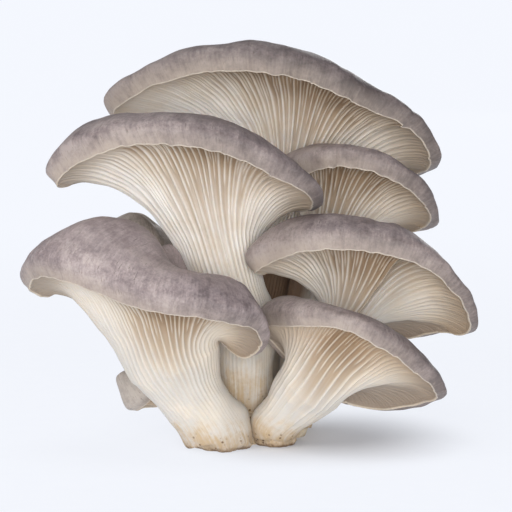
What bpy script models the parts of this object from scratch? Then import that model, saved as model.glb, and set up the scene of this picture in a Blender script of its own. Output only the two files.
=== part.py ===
"""Oyster mushroom cluster: eight fan-shaped mushrooms standing on one trimmed butt.

Every mushroom is one closed skin lofted from its stem rings, up the gilled underside to a
wavy rim, and back over the cap to its top dimple. Lengths below are in millimetres and are
turned into metres when the mesh is made. X is to the right, Y is away from the gilled side,
Z is up, and the origin is the middle of the flat trimmed base.
"""

import math
from dataclasses import dataclass

import bmesh
import bpy
import numpy as np

MM = 0.001

# Gills: how far a ridge stands out, and how it fades in near the stem and out near the edge
GILL_HEIGHT = 1.5
GILL_FADE_IN = 0.3
GILL_FADE_OUT = 0.18
SAMPLES_PER_GILL = 2

# Share of the way from the edge to the neck over which the underside turns in under the edge
ARRIVE_AT_EDGE = 0.30

# Cap section: where its crest and its shoulder stand on the way from the edge to the dimple
BULGE_HEIGHT = 0.45
CREST_PLACE = 0.12
SHOULDER_PLACE = 0.5
DIMPLE_RING = 0.12

# How much a meridian's start follows the direction of its end, round the neck
FOLLOW = 0.6

# Fold between two fans: lengths along the edge, as shares of it
FOLD_DROP = 0.015
FOLD_RECOVERY = 0.16
FOLD_LEAD = 0.22
FOLD_LIFT = 0.7
FOLD_ON_CAP = 0.35

# Rows of vertices, and how many fine ones there are to each coarse one
STEM_ROWS = 6
GILL_ROWS = 8
CAP_ROWS = 8
COARSE_STEP = 4
CURVE_STEPS = 24

# Sockets in the butt
CLEARANCE = 0.4
SOCKET_SIDES = 24

# Trimmed butt that the stems grow from
BUTT_CENTRE = (-2.0, 14.0)
BUTT_RADII = (20.0, 21.0)
BUTT_HEIGHT = 11.0
BUTT_LUMPS = 5
BUTT_LUMP_DEPTH = 0.08
BUTT_SIDES = 36
BUTT_PROFILE = ((0.93, 0.0), (1.0, 0.25), (0.98, 0.6), (0.86, 0.9), (0.62, 1.0))

# Base colours and roughness
CAP_GREY = (0.42, 0.37, 0.36)
GILL_CREAM = (0.80, 0.75, 0.67)
BUTT_TAN = (0.66, 0.56, 0.44)
FLESH_ROUGHNESS = 0.62


@dataclass(frozen=True)
class Mushroom:
    """One mushroom of the cluster.

    Attributes:
        name: node name.
        stem: rings from the foot to the neck, each (x, y, z, radius).
        rim: points round the cap's edge, anticlockwise from above and starting at the left
            end, each (x, y, z, crown, shoulder): how far the skin rolls up over the edge
            and how high the cap's top stands half way in.
        cap_up: direction that the cap's top faces.
        dimple: lowest point of the cap's top, over the neck.
        gills: how many gill ridges run down the underside.
        roll: how far the skin bulges out past the edge.
        curl: angle in degrees by which the underside turns in under the edge.
        flare: share of the way to the edge over which the underside keeps the stem's direction.
        fold: place along the rim of a fold between two fans of gills, or None.
        fold_depth: how far the flesh steps back behind the fold.
    """

    name: str
    stem: tuple
    rim: tuple
    cap_up: tuple
    dimple: tuple
    gills: int
    roll: float = 3.0
    curl: float = 50.0
    flare: float = 0.38
    fold: float | None = None
    fold_depth: float = 0.0


MUSHROOMS = (
    Mushroom(
        name="mushroom_top_back",
        stem=((0, 27.5, 5, 8.5), (0.5, 30, 26, 9.3), (3.5, 36, 50, 9.6), (9, 41, 71, 10)),
        rim=(
            (-48, 24, 109, 8, 6), (-44, 18, 115.5, 12, 10), (-32, 12, 122, 15, 13),
            (-19, 9, 125, 17, 16), (-5, 8, 126, 17, 17), (15, 9, 123.4, 17, 17),
            (36, 12, 114, 16, 16), (50, 16, 107.5, 11, 12), (57.5, 20, 101.5, 8.5, 9),
            (60.8, 26, 92, 6.5, 6), (54, 42, 86, 7, 6), (32, 54, 79, 6, 5), (11, 58, 77, 6, 5),
            (-14, 54, 83, 6, 5), (-36, 40, 96, 7, 6),
        ),
        cap_up=(0.05, 0.72, 0.69), dimple=(7, 44, 98), gills=44, roll=4.0,
    ),
    Mushroom(
        name="mushroom_upper_left",
        stem=(
            (-3.5, 10, 5, 6.8), (-3.3, 6.5, 12, 8.3), (-3.2, 4.5, 22, 8.6), (-4, 4.5, 38, 10.2),
            (-9.5, 3.5, 56, 12.4),
        ),
        rim=(
            (-65, -18, 89.5, 13, 10), (-62, -24, 95, 18.5, 14), (-53, -29, 101, 17, 15),
            (-39, -31, 104.8, 14.5, 15), (-26, -31, 104.6, 14.5, 15), (-8, -30, 101, 14.5, 15),
            (8, -27, 93, 13, 12), (17.6, -20, 87, 8, 8), (19, -8, 81, 5, 5), (13, 6, 78, 5, 4),
            (0, 14, 77, 4, 4), (-17, 16, 80, 4, 5), (-36, 18, 86, 6, 6), (-54, 0, 90, 7, 6),
        ),
        cap_up=(0.02, 0.62, 0.78), dimple=(-10, 4, 90), gills=44, roll=4.0, flare=0.58,
    ),
    Mushroom(
        name="mushroom_upper_right",
        stem=((14, 20, 5, 6), (16, 24, 24, 6.6), (19.5, 27, 44, 7.6), (24, 27, 60, 8)),
        rim=(
            (8, 19, 87, 11, 9), (15, 11.5, 90, 15, 12), (23, 7, 92.5, 13, 12), (32, 3, 94, 11, 11),
            (44, 2, 90.5, 11.5, 12), (54.5, 5, 84, 10.5, 10), (60.3, 14, 75, 6, 6),
            (57, 27, 69, 5, 4), (44, 36, 67, 5, 4), (32, 37, 69, 5, 4), (18, 29, 78, 4, 4),
        ),
        cap_up=(0.15, 0.66, 0.74), dimple=(33, 24, 80), gills=32,
    ),
    Mushroom(
        name="mushroom_mid_right",
        stem=((13, 7, 5, 6.3), (17, 8, 18, 7), (23, 7, 29, 7), (28, 6, 37, 8)),
        rim=(
            (-0.3, -14, 60, 14, 9), (5.2, -18, 64, 17, 12), (15, -22, 68, 15, 13),
            (29, -24, 69, 14.5, 14), (42, -24, 68, 13.5, 14), (56, -23, 63, 12, 12),
            (65.5, -20, 55, 8, 8), (71, -15, 47, 6, 6), (72, -6, 38, 5, 5), (63, 6, 36.5, 5, 4),
            (53, 12, 33.5, 5, 4), (42, 16, 37, 5, 4), (29, 15, 47, 5, 4), (16, 9, 54, 5, 5),
            (6, -1, 58, 5, 5),
        ),
        cap_up=(0.1, 0.6, 0.79), dimple=(33, 4, 60), gills=44,
        fold=0.275, fold_depth=6.5,
    ),
    Mushroom(
        name="mushroom_lower_left",
        stem=(
            (-10.6, -11, 0, 9.6), (-13.2, -11, 6, 11.6), (-17.5, -12, 13, 11), (-22.3, -13, 20, 12.3),
            (-27, -14, 30, 16.3),
        ),
        rim=(
            (-75, -20, 55, 14, 14), (-72, -30, 61, 15.5, 18), (-63, -38, 61, 19, 20.5),
            (-52, -43, 58, 17.5, 20), (-36, -46, 52.5, 14.5, 13), (-19, -46, 50, 13.5, 10),
            (-7, -43, 47.5, 13, 10), (-0.5, -38, 45, 12, 8), (2.3, -31, 38.5, 7.5, 5),
            (-4, -22, 32.5, 5, 3), (-17.6, -12.5, 41.5, 8, 6.5), (-30, -8, 50.5, 17.2, 11),
            (-40, -5, 55, 11.5, 12), (-54, -3, 57, 15.5, 18), (-68, -9, 51.5, 17, 18),
        ),
        cap_up=(0.1, 0.25, 0.96), dimple=(-24, -15, 55), gills=44,
    ),
    Mushroom(
        name="mushroom_lower_right",
        stem=((6.8, -5.5, 0, 7.4), (6.6, -6.5, 6.5, 8.3), (11.5, -12, 13.5, 8.8), (18.5, -16.5, 22.5, 12)),
        rim=(
            (3, -18, 42, 13.5, 10), (14, -30, 45, 11.5, 10), (29, -35, 44, 9.5, 10),
            (42, -37, 38, 9.5, 10), (53, -33, 29.5, 10, 8), (60.8, -24, 20.8, 6, 5),
            (58, -14, 16, 4, 3), (48, -7, 12.5, 4, 3), (37, -5, 12, 4, 3), (25, -5, 17, 4, 3),
            (13, -7, 28, 4, 3), (4.5, -11, 37, 6, 5),
        ),
        cap_up=(0.25, 0.6, 0.76), dimple=(28, -13, 32), gills=36,
    ),
    Mushroom(
        name="mushroom_small_behind",
        stem=((-16, 19, 5, 4), (-21.5, 19, 22, 3.8), (-31, 19, 42, 3.8), (-37, 19, 54, 4.5)),
        rim=(
            (-53, 18, 66.5, 5, 5), (-46.5, 11, 67, 6, 7), (-38, 8, 66, 5.5, 6.5),
            (-30.5, 12, 62.5, 5, 5), (-27.5, 20, 61.5, 5, 4.5), (-37.5, 29, 67, 4, 5),
            (-47, 27, 68, 4, 5),
        ),
        cap_up=(0.05, 0.1, 0.99), dimple=(-40.5, 20, 73), gills=16, roll=1.5,
    ),
    Mushroom(
        name="mushroom_small_low",
        stem=((-19, 8, 4, 3.4), (-22, 8, 7, 3.4), (-25, 7, 9.5, 3.6), (-28, 6, 12, 4)),
        rim=(
            (-38.3, 10, 9.3, 7, 8), (-40.5, 2, 10, 8, 9), (-36, -1.8, 14, 8, 9),
            (-32.2, -0.6, 19, 6.5, 6.5), (-28, 6, 22, 4, 4), (-28, 14, 18, 3, 3),
            (-31.5, 16, 9.5, 4.5, 5),
        ),
        cap_up=(-0.75, -0.1, 0.65), dimple=(-41, 6, 22), gills=16, roll=1.8,
    ),
)


def unit(vectors):
    """Return vectors scaled to length one."""
    vectors = np.asarray(vectors, dtype=float)
    return vectors / np.linalg.norm(vectors, axis=-1, keepdims=True)


def smooth_step(values):
    """Ease values between 0 and 1 with flat ends."""
    values = np.clip(values, 0.0, 1.0)
    return values * values * (3.0 - 2.0 * values)


def spline(points, per_span, closed):
    """Run a Catmull-Rom curve through points, with per_span samples between neighbours."""
    points = np.asarray(points, dtype=float)
    if closed:
        before, after = np.roll(points, 1, axis=0), np.roll(points, -1, axis=0)
        after_next, starts = np.roll(points, -2, axis=0), len(points)
    else:
        padded = np.vstack((2 * points[0] - points[1], points, 2 * points[-1] - points[-2]))
        before, after, after_next = padded[:-3], padded[2:-1], padded[3:]
        starts = len(points) - 1
    here = points[:starts]
    t = (np.arange(per_span) / per_span)[None, :, None]
    before, here = before[:starts, None], here[:, None]
    after, after_next = after[:starts, None], after_next[:starts, None]
    curve = 0.5 * (
        2 * here
        + (after - before) * t
        + (2 * before - 5 * here + 4 * after - after_next) * t**2
        + (3 * here - before - 3 * after + after_next) * t**3
    )
    curve = curve.reshape(-1, points.shape[1])
    return curve if closed else np.vstack((curve, points[-1]))


def respaced(curve, count, closed):
    """Return count rows of a curve, evenly spaced along its length."""
    loop = np.vstack((curve, curve[:1])) if closed else curve
    steps = np.linalg.norm(np.diff(loop[:, :3], axis=0), axis=1)
    travelled = np.concatenate(([0.0], np.cumsum(steps)))
    wanted = np.linspace(0.0, travelled[-1], count, endpoint=not closed)
    return np.stack([np.interp(wanted, travelled, column) for column in loop.T], axis=1)


def bezier(p0, p1, p2, p3, t):
    """Return a cubic Bezier's point at t for each row of control points."""
    s = 1.0 - t
    return s**3 * p0 + 3 * s * s * t * p1 + 3 * s * t * t * p2 + t**3 * p3


def along(section, t):
    """Return the point at t, from 0 to 1, on a curve through a section's rows of points."""
    padded = (2 * section[0] - section[1], *section, 2 * section[-1] - section[-2])
    place = min(t, 0.999999) * (len(section) - 1)
    start = int(place)
    t = place - start
    before, here, after, after_next = padded[start : start + 4]
    return 0.5 * (
        2 * here
        + (after - before) * t
        + (2 * before - 5 * here + 4 * after - after_next) * t**2
        + (3 * here - before - 3 * after + after_next) * t**3
    )


def ring_axes(tangent):
    """Return the two axes across a stem: toward the gilled side, and to its right."""
    front = np.array((0.0, -1.0, 0.0))
    front = unit(front - np.dot(front, tangent) * tangent)
    return front, np.cross(tangent, front)


def stem_rings(mushroom, angles, extra=0.0):
    """Return the stem's rings of points from foot to neck, each swollen by extra."""
    path = respaced(spline(mushroom.stem, CURVE_STEPS, closed=False), STEM_ROWS, closed=False)
    tangents = unit(np.gradient(path[:, :3], axis=0))
    if mushroom.stem[0][2] == 0:
        tangents[0] = (0.0, 0.0, 1.0)
    rings = []
    for (x, y, z, radius), tangent in zip(path, tangents):
        front, right = ring_axes(tangent)
        spokes = np.cos(angles)[:, None] * front + np.sin(angles)[:, None] * right
        rings.append(np.array((x, y, z)) + (radius + extra) * spokes)
    return rings, tangents[-1]


def neck_angles(rim, neck, tangent):
    """Return, for each rim point, the angle on the neck's ring that its meridian starts at."""
    front, right = ring_axes(tangent)
    spokes = rim - neck
    turned = np.unwrap(np.arctan2(spokes @ right, spokes @ front))
    even = turned[0] + 2 * math.pi * np.arange(len(rim)) / len(rim)
    return FOLLOW * turned + (1 - FOLLOW) * (even + np.mean(turned - even))


def fold_step(mushroom, count):
    """Return how far each meridian steps back for the fold between two fans of gills."""
    if mushroom.fold is None:
        return np.zeros((count, 1))
    past = (np.arange(count) / count - mushroom.fold) % 1.0
    drop = smooth_step(past / FOLD_DROP) * (1 - smooth_step((past - FOLD_DROP) / FOLD_RECOVERY))
    lead = 1 - smooth_step((1 - past) / FOLD_LEAD)
    return (mushroom.fold_depth * (drop - FOLD_LIFT * lead))[:, None]


def gilled_rows(mushroom, rim, neck, tangent, back):
    """Return the underside's rows of points, ridge and valley by turns, from neck to rim."""
    up = unit(mushroom.cap_up)
    spokes = rim - neck
    reach = np.linalg.norm(spokes, axis=1, keepdims=True)
    outward = spokes / reach
    into_flesh = unit(up - (outward @ up)[:, None] * outward)
    curl = math.radians(mushroom.curl)
    arrival = unit(math.cos(curl) * outward - math.sin(curl) * up)
    leave = neck + mushroom.flare * reach * tangent
    arrive = rim - ARRIVE_AT_EDGE * reach * arrival
    valley = (np.arange(len(rim)) % SAMPLES_PER_GILL != 0)[:, None]
    rows = []
    for row in range(1, GILL_ROWS):
        t = row / GILL_ROWS
        fade = smooth_step(t / GILL_FADE_IN) * smooth_step((1 - t) / GILL_FADE_OUT)
        depth = valley * GILL_HEIGHT * fade + back * math.sin(math.pi * t)
        rows.append(bezier(neck, leave, arrive, rim, t) + into_flesh * depth)
    return rows


def cap_rows(mushroom, rim, crown, shoulder, back):
    """Return the cap's rows of points from just inside the rim to a small ring at the dimple."""
    up = unit(mushroom.cap_up)
    dimple = np.array(mushroom.dimple, dtype=float)
    inward = dimple - rim
    across = unit((inward @ up)[:, None] * up - inward)
    section = (
        rim,
        rim + across * mushroom.roll + up * crown * BULGE_HEIGHT,
        rim + CREST_PLACE * inward + up * crown,
        rim + SHOULDER_PLACE * inward + up * (shoulder + FOLD_ON_CAP * back),
        np.repeat(dimple[None], len(rim), axis=0),
    )
    rows = [along(section, row / CAP_ROWS) for row in range(1, CAP_ROWS)]
    rows.append(dimple + DIMPLE_RING * (rows[-1] - dimple))
    return rows


def lay_out(mushroom):
    """Work out a mushroom's rows of points: stem, gilled underside with rim, and cap."""
    count = mushroom.gills * SAMPLES_PER_GILL
    edge = respaced(spline(mushroom.rim, CURVE_STEPS, closed=True), count, closed=True)
    rim, crown, shoulder = edge[:, :3], edge[:, 3:4], edge[:, 4:5]
    neck_centre = np.array(mushroom.stem[-1][:3], dtype=float)
    lean = unit(neck_centre - np.array(mushroom.stem[-2][:3]))
    stem, tangent = stem_rings(mushroom, neck_angles(rim, neck_centre, lean))
    back = fold_step(mushroom, count)
    gilled = gilled_rows(mushroom, rim, stem[-1], tangent, back)
    cap = cap_rows(mushroom, rim, crown, shoulder, back)
    return stem, [*gilled, rim], cap


def add_ring(mesh, points):
    """Add one ring of vertices, given in millimetres."""
    return [mesh.verts.new(point * MM) for point in points]


def bridge_even(mesh, lower, upper):
    """Join two rings of equal counts by two triangles a step."""
    for i, corner in enumerate(lower):
        j = (i + 1) % len(lower)
        mesh.faces.new((corner, lower[j], upper[j]))
        mesh.faces.new((corner, upper[j], upper[i]))


def bridge_uneven(mesh, coarse, fine, coarse_is_upper):
    """Join a coarse ring to a fine one that has a whole number of steps to each of its own."""
    step = len(fine) // len(coarse)
    faces = []
    for k, here in enumerate(coarse):
        there = coarse[(k + 1) % len(coarse)]
        faces.append((here, there, fine[k * step + step // 2]))
        for s in range(step):
            corner = here if s < step // 2 else there
            first, second = fine[k * step + s], fine[(k * step + s + 1) % len(fine)]
            faces.append((corner, second, first))
    for face in faces:
        mesh.faces.new(face[::-1] if coarse_is_upper else face)


def bridge(mesh, lower, upper):
    """Join two rings, whether or not they have the same count."""
    if len(lower) == len(upper):
        bridge_even(mesh, lower, upper)
    elif len(lower) < len(upper):
        bridge_uneven(mesh, lower, upper, coarse_is_upper=False)
    else:
        bridge_uneven(mesh, upper, lower, coarse_is_upper=True)


def loft(mesh, rings):
    """Loft one closed body through rings of points, with a flat face at either end."""
    loops = [add_ring(mesh, ring) for ring in rings]
    for lower, upper in zip(loops, loops[1:]):
        bridge(mesh, lower, upper)
    mesh.faces.new(loops[0][::-1])
    mesh.faces.new(loops[-1])
    mesh.verts.index_update()


def flesh_material(name, colour):
    """Make a plain flesh material."""
    material = bpy.data.materials.new(name)
    material.use_nodes = True
    shader = material.node_tree.nodes["Principled BSDF"]
    shader.inputs["Base Color"].default_value = (*colour, 1.0)
    shader.inputs["Roughness"].default_value = FLESH_ROUGHNESS
    shader.inputs["Metallic"].default_value = 0.0
    return material


def finish_object(name, mesh, materials, collection):
    """Turn a bmesh into a smooth-shaded object in a collection."""
    data = bpy.data.meshes.new(name)
    mesh.to_mesh(data)
    mesh.free()
    for material in materials:
        data.materials.append(material)
    data.shade_smooth()
    made = bpy.data.objects.new(name, data)
    collection.objects.link(made)
    return made


def build_mushroom(mushroom, parts):
    """Build one mushroom as a single closed body, its cap skin and its flesh coloured apart."""
    stem, gilled, cap = lay_out(mushroom)
    coarse_stem = [ring[::COARSE_STEP] for ring in stem]
    coarse_cap = [ring[::COARSE_STEP] for ring in cap]
    mesh = bmesh.new()
    loft(mesh, coarse_stem + gilled + coarse_cap)
    rim_start = sum(len(ring) for ring in coarse_stem + gilled[:-1])
    for face in mesh.faces:
        face.material_index = int(any(vertex.index < rim_start for vertex in face.verts))
    materials = (
        flesh_material(mushroom.name + "_cap_skin", CAP_GREY),
        flesh_material(mushroom.name + "_gills_and_stem", GILL_CREAM),
    )
    return finish_object(mushroom.name, mesh, materials, parts)


def build_sleeve(mushroom, cutters):
    """Build the cutter that clears a stem's foot, a little wider and deeper than the foot."""
    angles = np.linspace(0.0, 2 * math.pi, SOCKET_SIDES, endpoint=False)
    rings, _ = stem_rings(mushroom, angles, extra=CLEARANCE)
    rings[0] = rings[0] - np.array((0.0, 0.0, CLEARANCE))
    mesh = bmesh.new()
    loft(mesh, rings)
    sleeve = finish_object(mushroom.name + "_sleeve", mesh, (), cutters)
    sleeve.hide_render = True
    sleeve.display_type = "WIRE"


def build_butt(parts, cutters):
    """Build the trimmed butt: a low lumpy mass with a socket for every stem."""
    angles = np.linspace(0.0, 2 * math.pi, BUTT_SIDES, endpoint=False)
    lumps = 1.0 + BUTT_LUMP_DEPTH * np.cos(BUTT_LUMPS * angles)
    rings = []
    for spread, height in BUTT_PROFILE:
        x = BUTT_CENTRE[0] + BUTT_RADII[0] * spread * lumps * np.sin(angles)
        y = BUTT_CENTRE[1] - BUTT_RADII[1] * spread * lumps * np.cos(angles)
        z = np.full(BUTT_SIDES, BUTT_HEIGHT * height)
        rings.append(np.stack((x, y, z), axis=1))
    mesh = bmesh.new()
    loft(mesh, rings)
    material = flesh_material("trimmed_butt_flesh", BUTT_TAN)
    butt = finish_object("trimmed_butt", mesh, (material,), parts)
    sockets = butt.modifiers.new("sockets", "BOOLEAN")
    sockets.operation = "DIFFERENCE"
    sockets.operand_type = "COLLECTION"
    sockets.collection = cutters
    sockets.solver = "EXACT"


def main():
    """Build the whole cluster."""
    for leftover in list(bpy.data.objects):
        bpy.data.objects.remove(leftover)
    parts = bpy.data.collections.new("oyster mushroom cluster")
    cutters = bpy.data.collections.new("stem sockets")
    for collection in (parts, cutters):
        bpy.context.scene.collection.children.link(collection)
    for mushroom in MUSHROOMS:
        build_mushroom(mushroom, parts)
        build_sleeve(mushroom, cutters)
    build_butt(parts, cutters)


if __name__ == "__main__":
    main()
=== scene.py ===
"""Dressed model of an oyster mushroom cluster: fine gills, wavy caps, fibrous stems and a trimmed butt.

Lengths are in millimetres in the shape values and in metres in Blender. X is to the right, Y is
away from the gilled side and Z is up, as in the solids that this script dresses.
"""

from __future__ import annotations

import logging
import math
from dataclasses import dataclass, field, replace
from enum import Enum
from typing import Any, Mapping, Sequence

import bpy
import numpy as np
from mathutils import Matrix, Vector

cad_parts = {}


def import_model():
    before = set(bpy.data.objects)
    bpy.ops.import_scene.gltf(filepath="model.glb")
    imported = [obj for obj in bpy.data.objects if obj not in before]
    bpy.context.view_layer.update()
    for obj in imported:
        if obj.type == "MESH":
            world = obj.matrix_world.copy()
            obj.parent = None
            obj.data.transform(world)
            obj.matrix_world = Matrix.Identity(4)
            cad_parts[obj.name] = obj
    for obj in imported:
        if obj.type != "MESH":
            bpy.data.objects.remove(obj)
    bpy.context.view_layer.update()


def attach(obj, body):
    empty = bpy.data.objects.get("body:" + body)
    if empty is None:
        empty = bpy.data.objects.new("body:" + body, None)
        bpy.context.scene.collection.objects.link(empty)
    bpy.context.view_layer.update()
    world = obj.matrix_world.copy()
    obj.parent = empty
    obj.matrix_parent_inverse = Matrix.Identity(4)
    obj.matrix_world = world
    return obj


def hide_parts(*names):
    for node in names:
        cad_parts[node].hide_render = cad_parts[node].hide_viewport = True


LOG = logging.getLogger("mushrooms")

MM = 0.001
TINY = 1e-12
PHOTO_PIXELS = 512
SENSOR_MM = 36.0
BODY = "root"

Array = np.ndarray
Colour = tuple[float, float, float]
Point = tuple[float, float, float]


class Slot(Enum):
    """The record's material slots."""

    CAP = "cap_skin"
    FLESH = "gills_and_stem"
    BUTT = "butt_flesh"


class Skin(Enum):
    """Which skin a face wears, by its place in a mushroom's list of materials."""

    CAP = 0
    FLESH = 1


class CapLighting(Enum):
    """Which copy of the cap skin a mushroom wears: a darker or paler copy of the usual skin, painted shade
    and painted light for caps that stand in less or more light, the usual skin, or the young caps' own
    beige skin, which is also made paler as painted light.
    """

    DARK = "dark"
    USUAL = "usual"
    PALE = "pale"
    YOUNG = "young"


# Curves and noise


def unit(vectors: Array) -> Array:
    """Return vectors scaled to length one."""
    vectors = np.asarray(vectors, dtype=float)
    return vectors / np.maximum(np.linalg.norm(vectors, axis=-1, keepdims=True), TINY)


def ease(values: Any) -> Any:
    """Ease values between 0 and 1 with flat ends."""
    values = np.clip(values, 0.0, 1.0)
    return values * values * (3.0 - 2.0 * values)


def catmull(before: Array, here: Array, after: Array, later: Array, t: Any) -> Array:
    """Return the point at t between here and after on a Catmull-Rom curve."""
    return 0.5 * (
        2 * here
        + (after - before) * t
        + (2 * before - 5 * here + 4 * after - later) * t**2
        + (3 * here - before - 3 * after + later) * t**3
    )


def spline(points: Sequence[Sequence[float]], per_span: int, closed: bool) -> Array:
    """Run a Catmull-Rom curve through points.

    Args:
        points: rows of numbers, the first three of them a place.
        per_span: how many samples lie between neighbours.
        closed: whether the curve comes back to its start.

    Returns:
        The samples, one row each.
    """
    knots = np.asarray(points, dtype=float)
    if closed:
        padded = np.vstack((knots[-1:], knots, knots[:2]))
    else:
        padded = np.vstack((2 * knots[0] - knots[1], knots, 2 * knots[-1] - knots[-2]))
    t = (np.arange(per_span) / per_span)[None, :, None]
    rows = [part[:, None] for part in (padded[:-3], padded[1:-2], padded[2:-1], padded[3:])]
    curve = catmull(*rows, t).reshape(-1, knots.shape[1])
    return curve if closed else np.vstack((curve, knots[-1]))


def respaced(curve: Array, shares: Array, closed: bool) -> Array:
    """Return a curve's rows at the given shares, 0 to 1, of its length.

    Args:
        curve: rows of numbers, the first three of them a place.
        shares: how far along each wanted row lies.
        closed: whether the curve comes back to its start.

    Returns:
        One row for each share.
    """
    loop = np.vstack((curve, curve[:1])) if closed else curve
    steps = np.linalg.norm(np.diff(loop[:, :3], axis=0), axis=1)
    travelled = np.concatenate(([0.0], np.cumsum(steps)))
    wanted = shares * travelled[-1]
    return np.stack([np.interp(wanted, travelled, column) for column in loop.T], axis=1)


def bezier(p0: Array, p1: Array, p2: Array, p3: Array, t: Array) -> Array:
    """Return a cubic Bezier's point at t for each row of control points."""
    s = 1.0 - t
    return s**3 * p0 + 3 * s * s * t * p1 + 3 * s * t * t * p2 + t**3 * p3


def through(section: Sequence[Array], t: float) -> Array:
    """Return the points at t, from 0 to 1, on the curves through a section's rows of points.

    Args:
        section: the curves' knots, one row of points for each knot.
        t: how far along the curves.

    Returns:
        One point for each curve.
    """
    padded = (2 * section[0] - section[1], *section, 2 * section[-1] - section[-2])
    place = min(t, 0.999999) * (len(section) - 1)
    start = int(place)
    return catmull(*padded[start : start + 4], place - start)


@dataclass(frozen=True)
class Ripple:
    """Smooth seeded noise, as a sum of sine waves of about one length.

    Attributes:
        length: length of a wave, in the unit of the places it is read at.
        seed: picks the waves.
        waves: how many waves are summed.
    """

    length: float
    seed: int
    waves: int = 14

    def at(self, places: Array) -> Array:
        """Return the noise, about -1 to 1, at places given as vectors of three.

        Args:
            places: the places, in an array of any form that ends in three.

        Returns:
            A number for each place.
        """
        rng = np.random.default_rng(self.seed)
        directions = unit(rng.normal(size=(self.waves, 3)))
        lengths = self.length * rng.uniform(0.65, 1.6, self.waves)
        phases = rng.uniform(0, 2 * math.pi, self.waves)
        total = np.zeros(places.shape[:-1])
        for direction, length, phase in zip(directions, lengths, phases):
            total += np.sin((places @ direction) * (2 * math.pi / length) + phase)
        return total / math.sqrt(self.waves)

    def round(self, count: int, girth: float, turn: Any = 0.0) -> Array:
        """Return the noise round a closed ring of count points and a length of girth.

        Args:
            count: how many points the ring has.
            girth: the ring's length.
            turn: how far along the noise each ring lies, one number or one for each ring.

        Returns:
            A number for each point.
        """
        angle = 2 * math.pi * np.arange(count) / count
        radius = girth / (2 * math.pi)
        flat = np.stack((np.cos(angle), np.sin(angle), np.zeros(count)), axis=-1) * radius
        lift = np.zeros(3)
        lift[2] = 1.0
        return self.at(flat + np.asarray(turn)[..., None, None] * lift)


# Meshes


@dataclass
class Patch:
    """A grid of closed rings of points that wear one skin.

    Attributes:
        points: places in millimetres, as rings, points of a ring, 3.
        grain: where the finishes read their streaks, of the same form.
        edge: distance from the cap's edge, as rings and points of a ring.
        valley: how deep between two gills, 0 to 1, of the same form.
        painted_shade: how much darker the flesh is painted as painted shade, 1 behind the stem and up to 2
            in a crevice, of the same form.
        skin: the skin that the faces wear.
    """

    points: Array
    grain: Array
    edge: Array
    valley: Array
    painted_shade: Array
    skin: Skin

    def thinned(self, step: int) -> "Patch":
        """Return the patch with one of every step points of each ring."""
        parts = (self.points, self.grain, self.edge, self.valley, self.painted_shade)
        return Patch(*(part[:, ::step] for part in parts), self.skin)


def ring_quads(first: int, rings: int, count: int) -> Array:
    """Return the quads between neighbouring rings of count points, numbered from first.

    Args:
        first: number of the first ring's first point.
        rings: how many rings there are.
        count: how many points each has.

    Returns:
        Four corner numbers for each quad.
    """
    corner = first + np.arange(rings - 1)[:, None] * count + np.arange(count)[None, :]
    beside = first + np.arange(rings - 1)[:, None] * count + (np.arange(count) + 1)[None, :] % count
    return np.stack((corner, beside, beside + count, corner + count), axis=-1).reshape(-1, 4)


def uneven_strip(coarse: Sequence[int], fine: Sequence[int], flip: bool) -> list[tuple[int, int, int]]:
    """Return the triangles between a coarse ring and one with a whole number of points to its one.

    Args:
        coarse: numbers of the coarse ring's points.
        fine: numbers of the fine ring's points.
        flip: whether the fine ring lies below the coarse one.

    Returns:
        Three corner numbers for each triangle.
    """
    step = len(fine) // len(coarse)
    faces = []
    for k, here in enumerate(coarse):
        there = coarse[(k + 1) % len(coarse)]
        faces.append((here, there, fine[k * step + step // 2]))
        for s in range(step):
            corner = here if s < step // 2 else there
            faces.append((corner, fine[(k * step + s + 1) % len(fine)], fine[k * step + s]))
    return [face[::-1] for face in faces] if flip else faces


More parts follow.
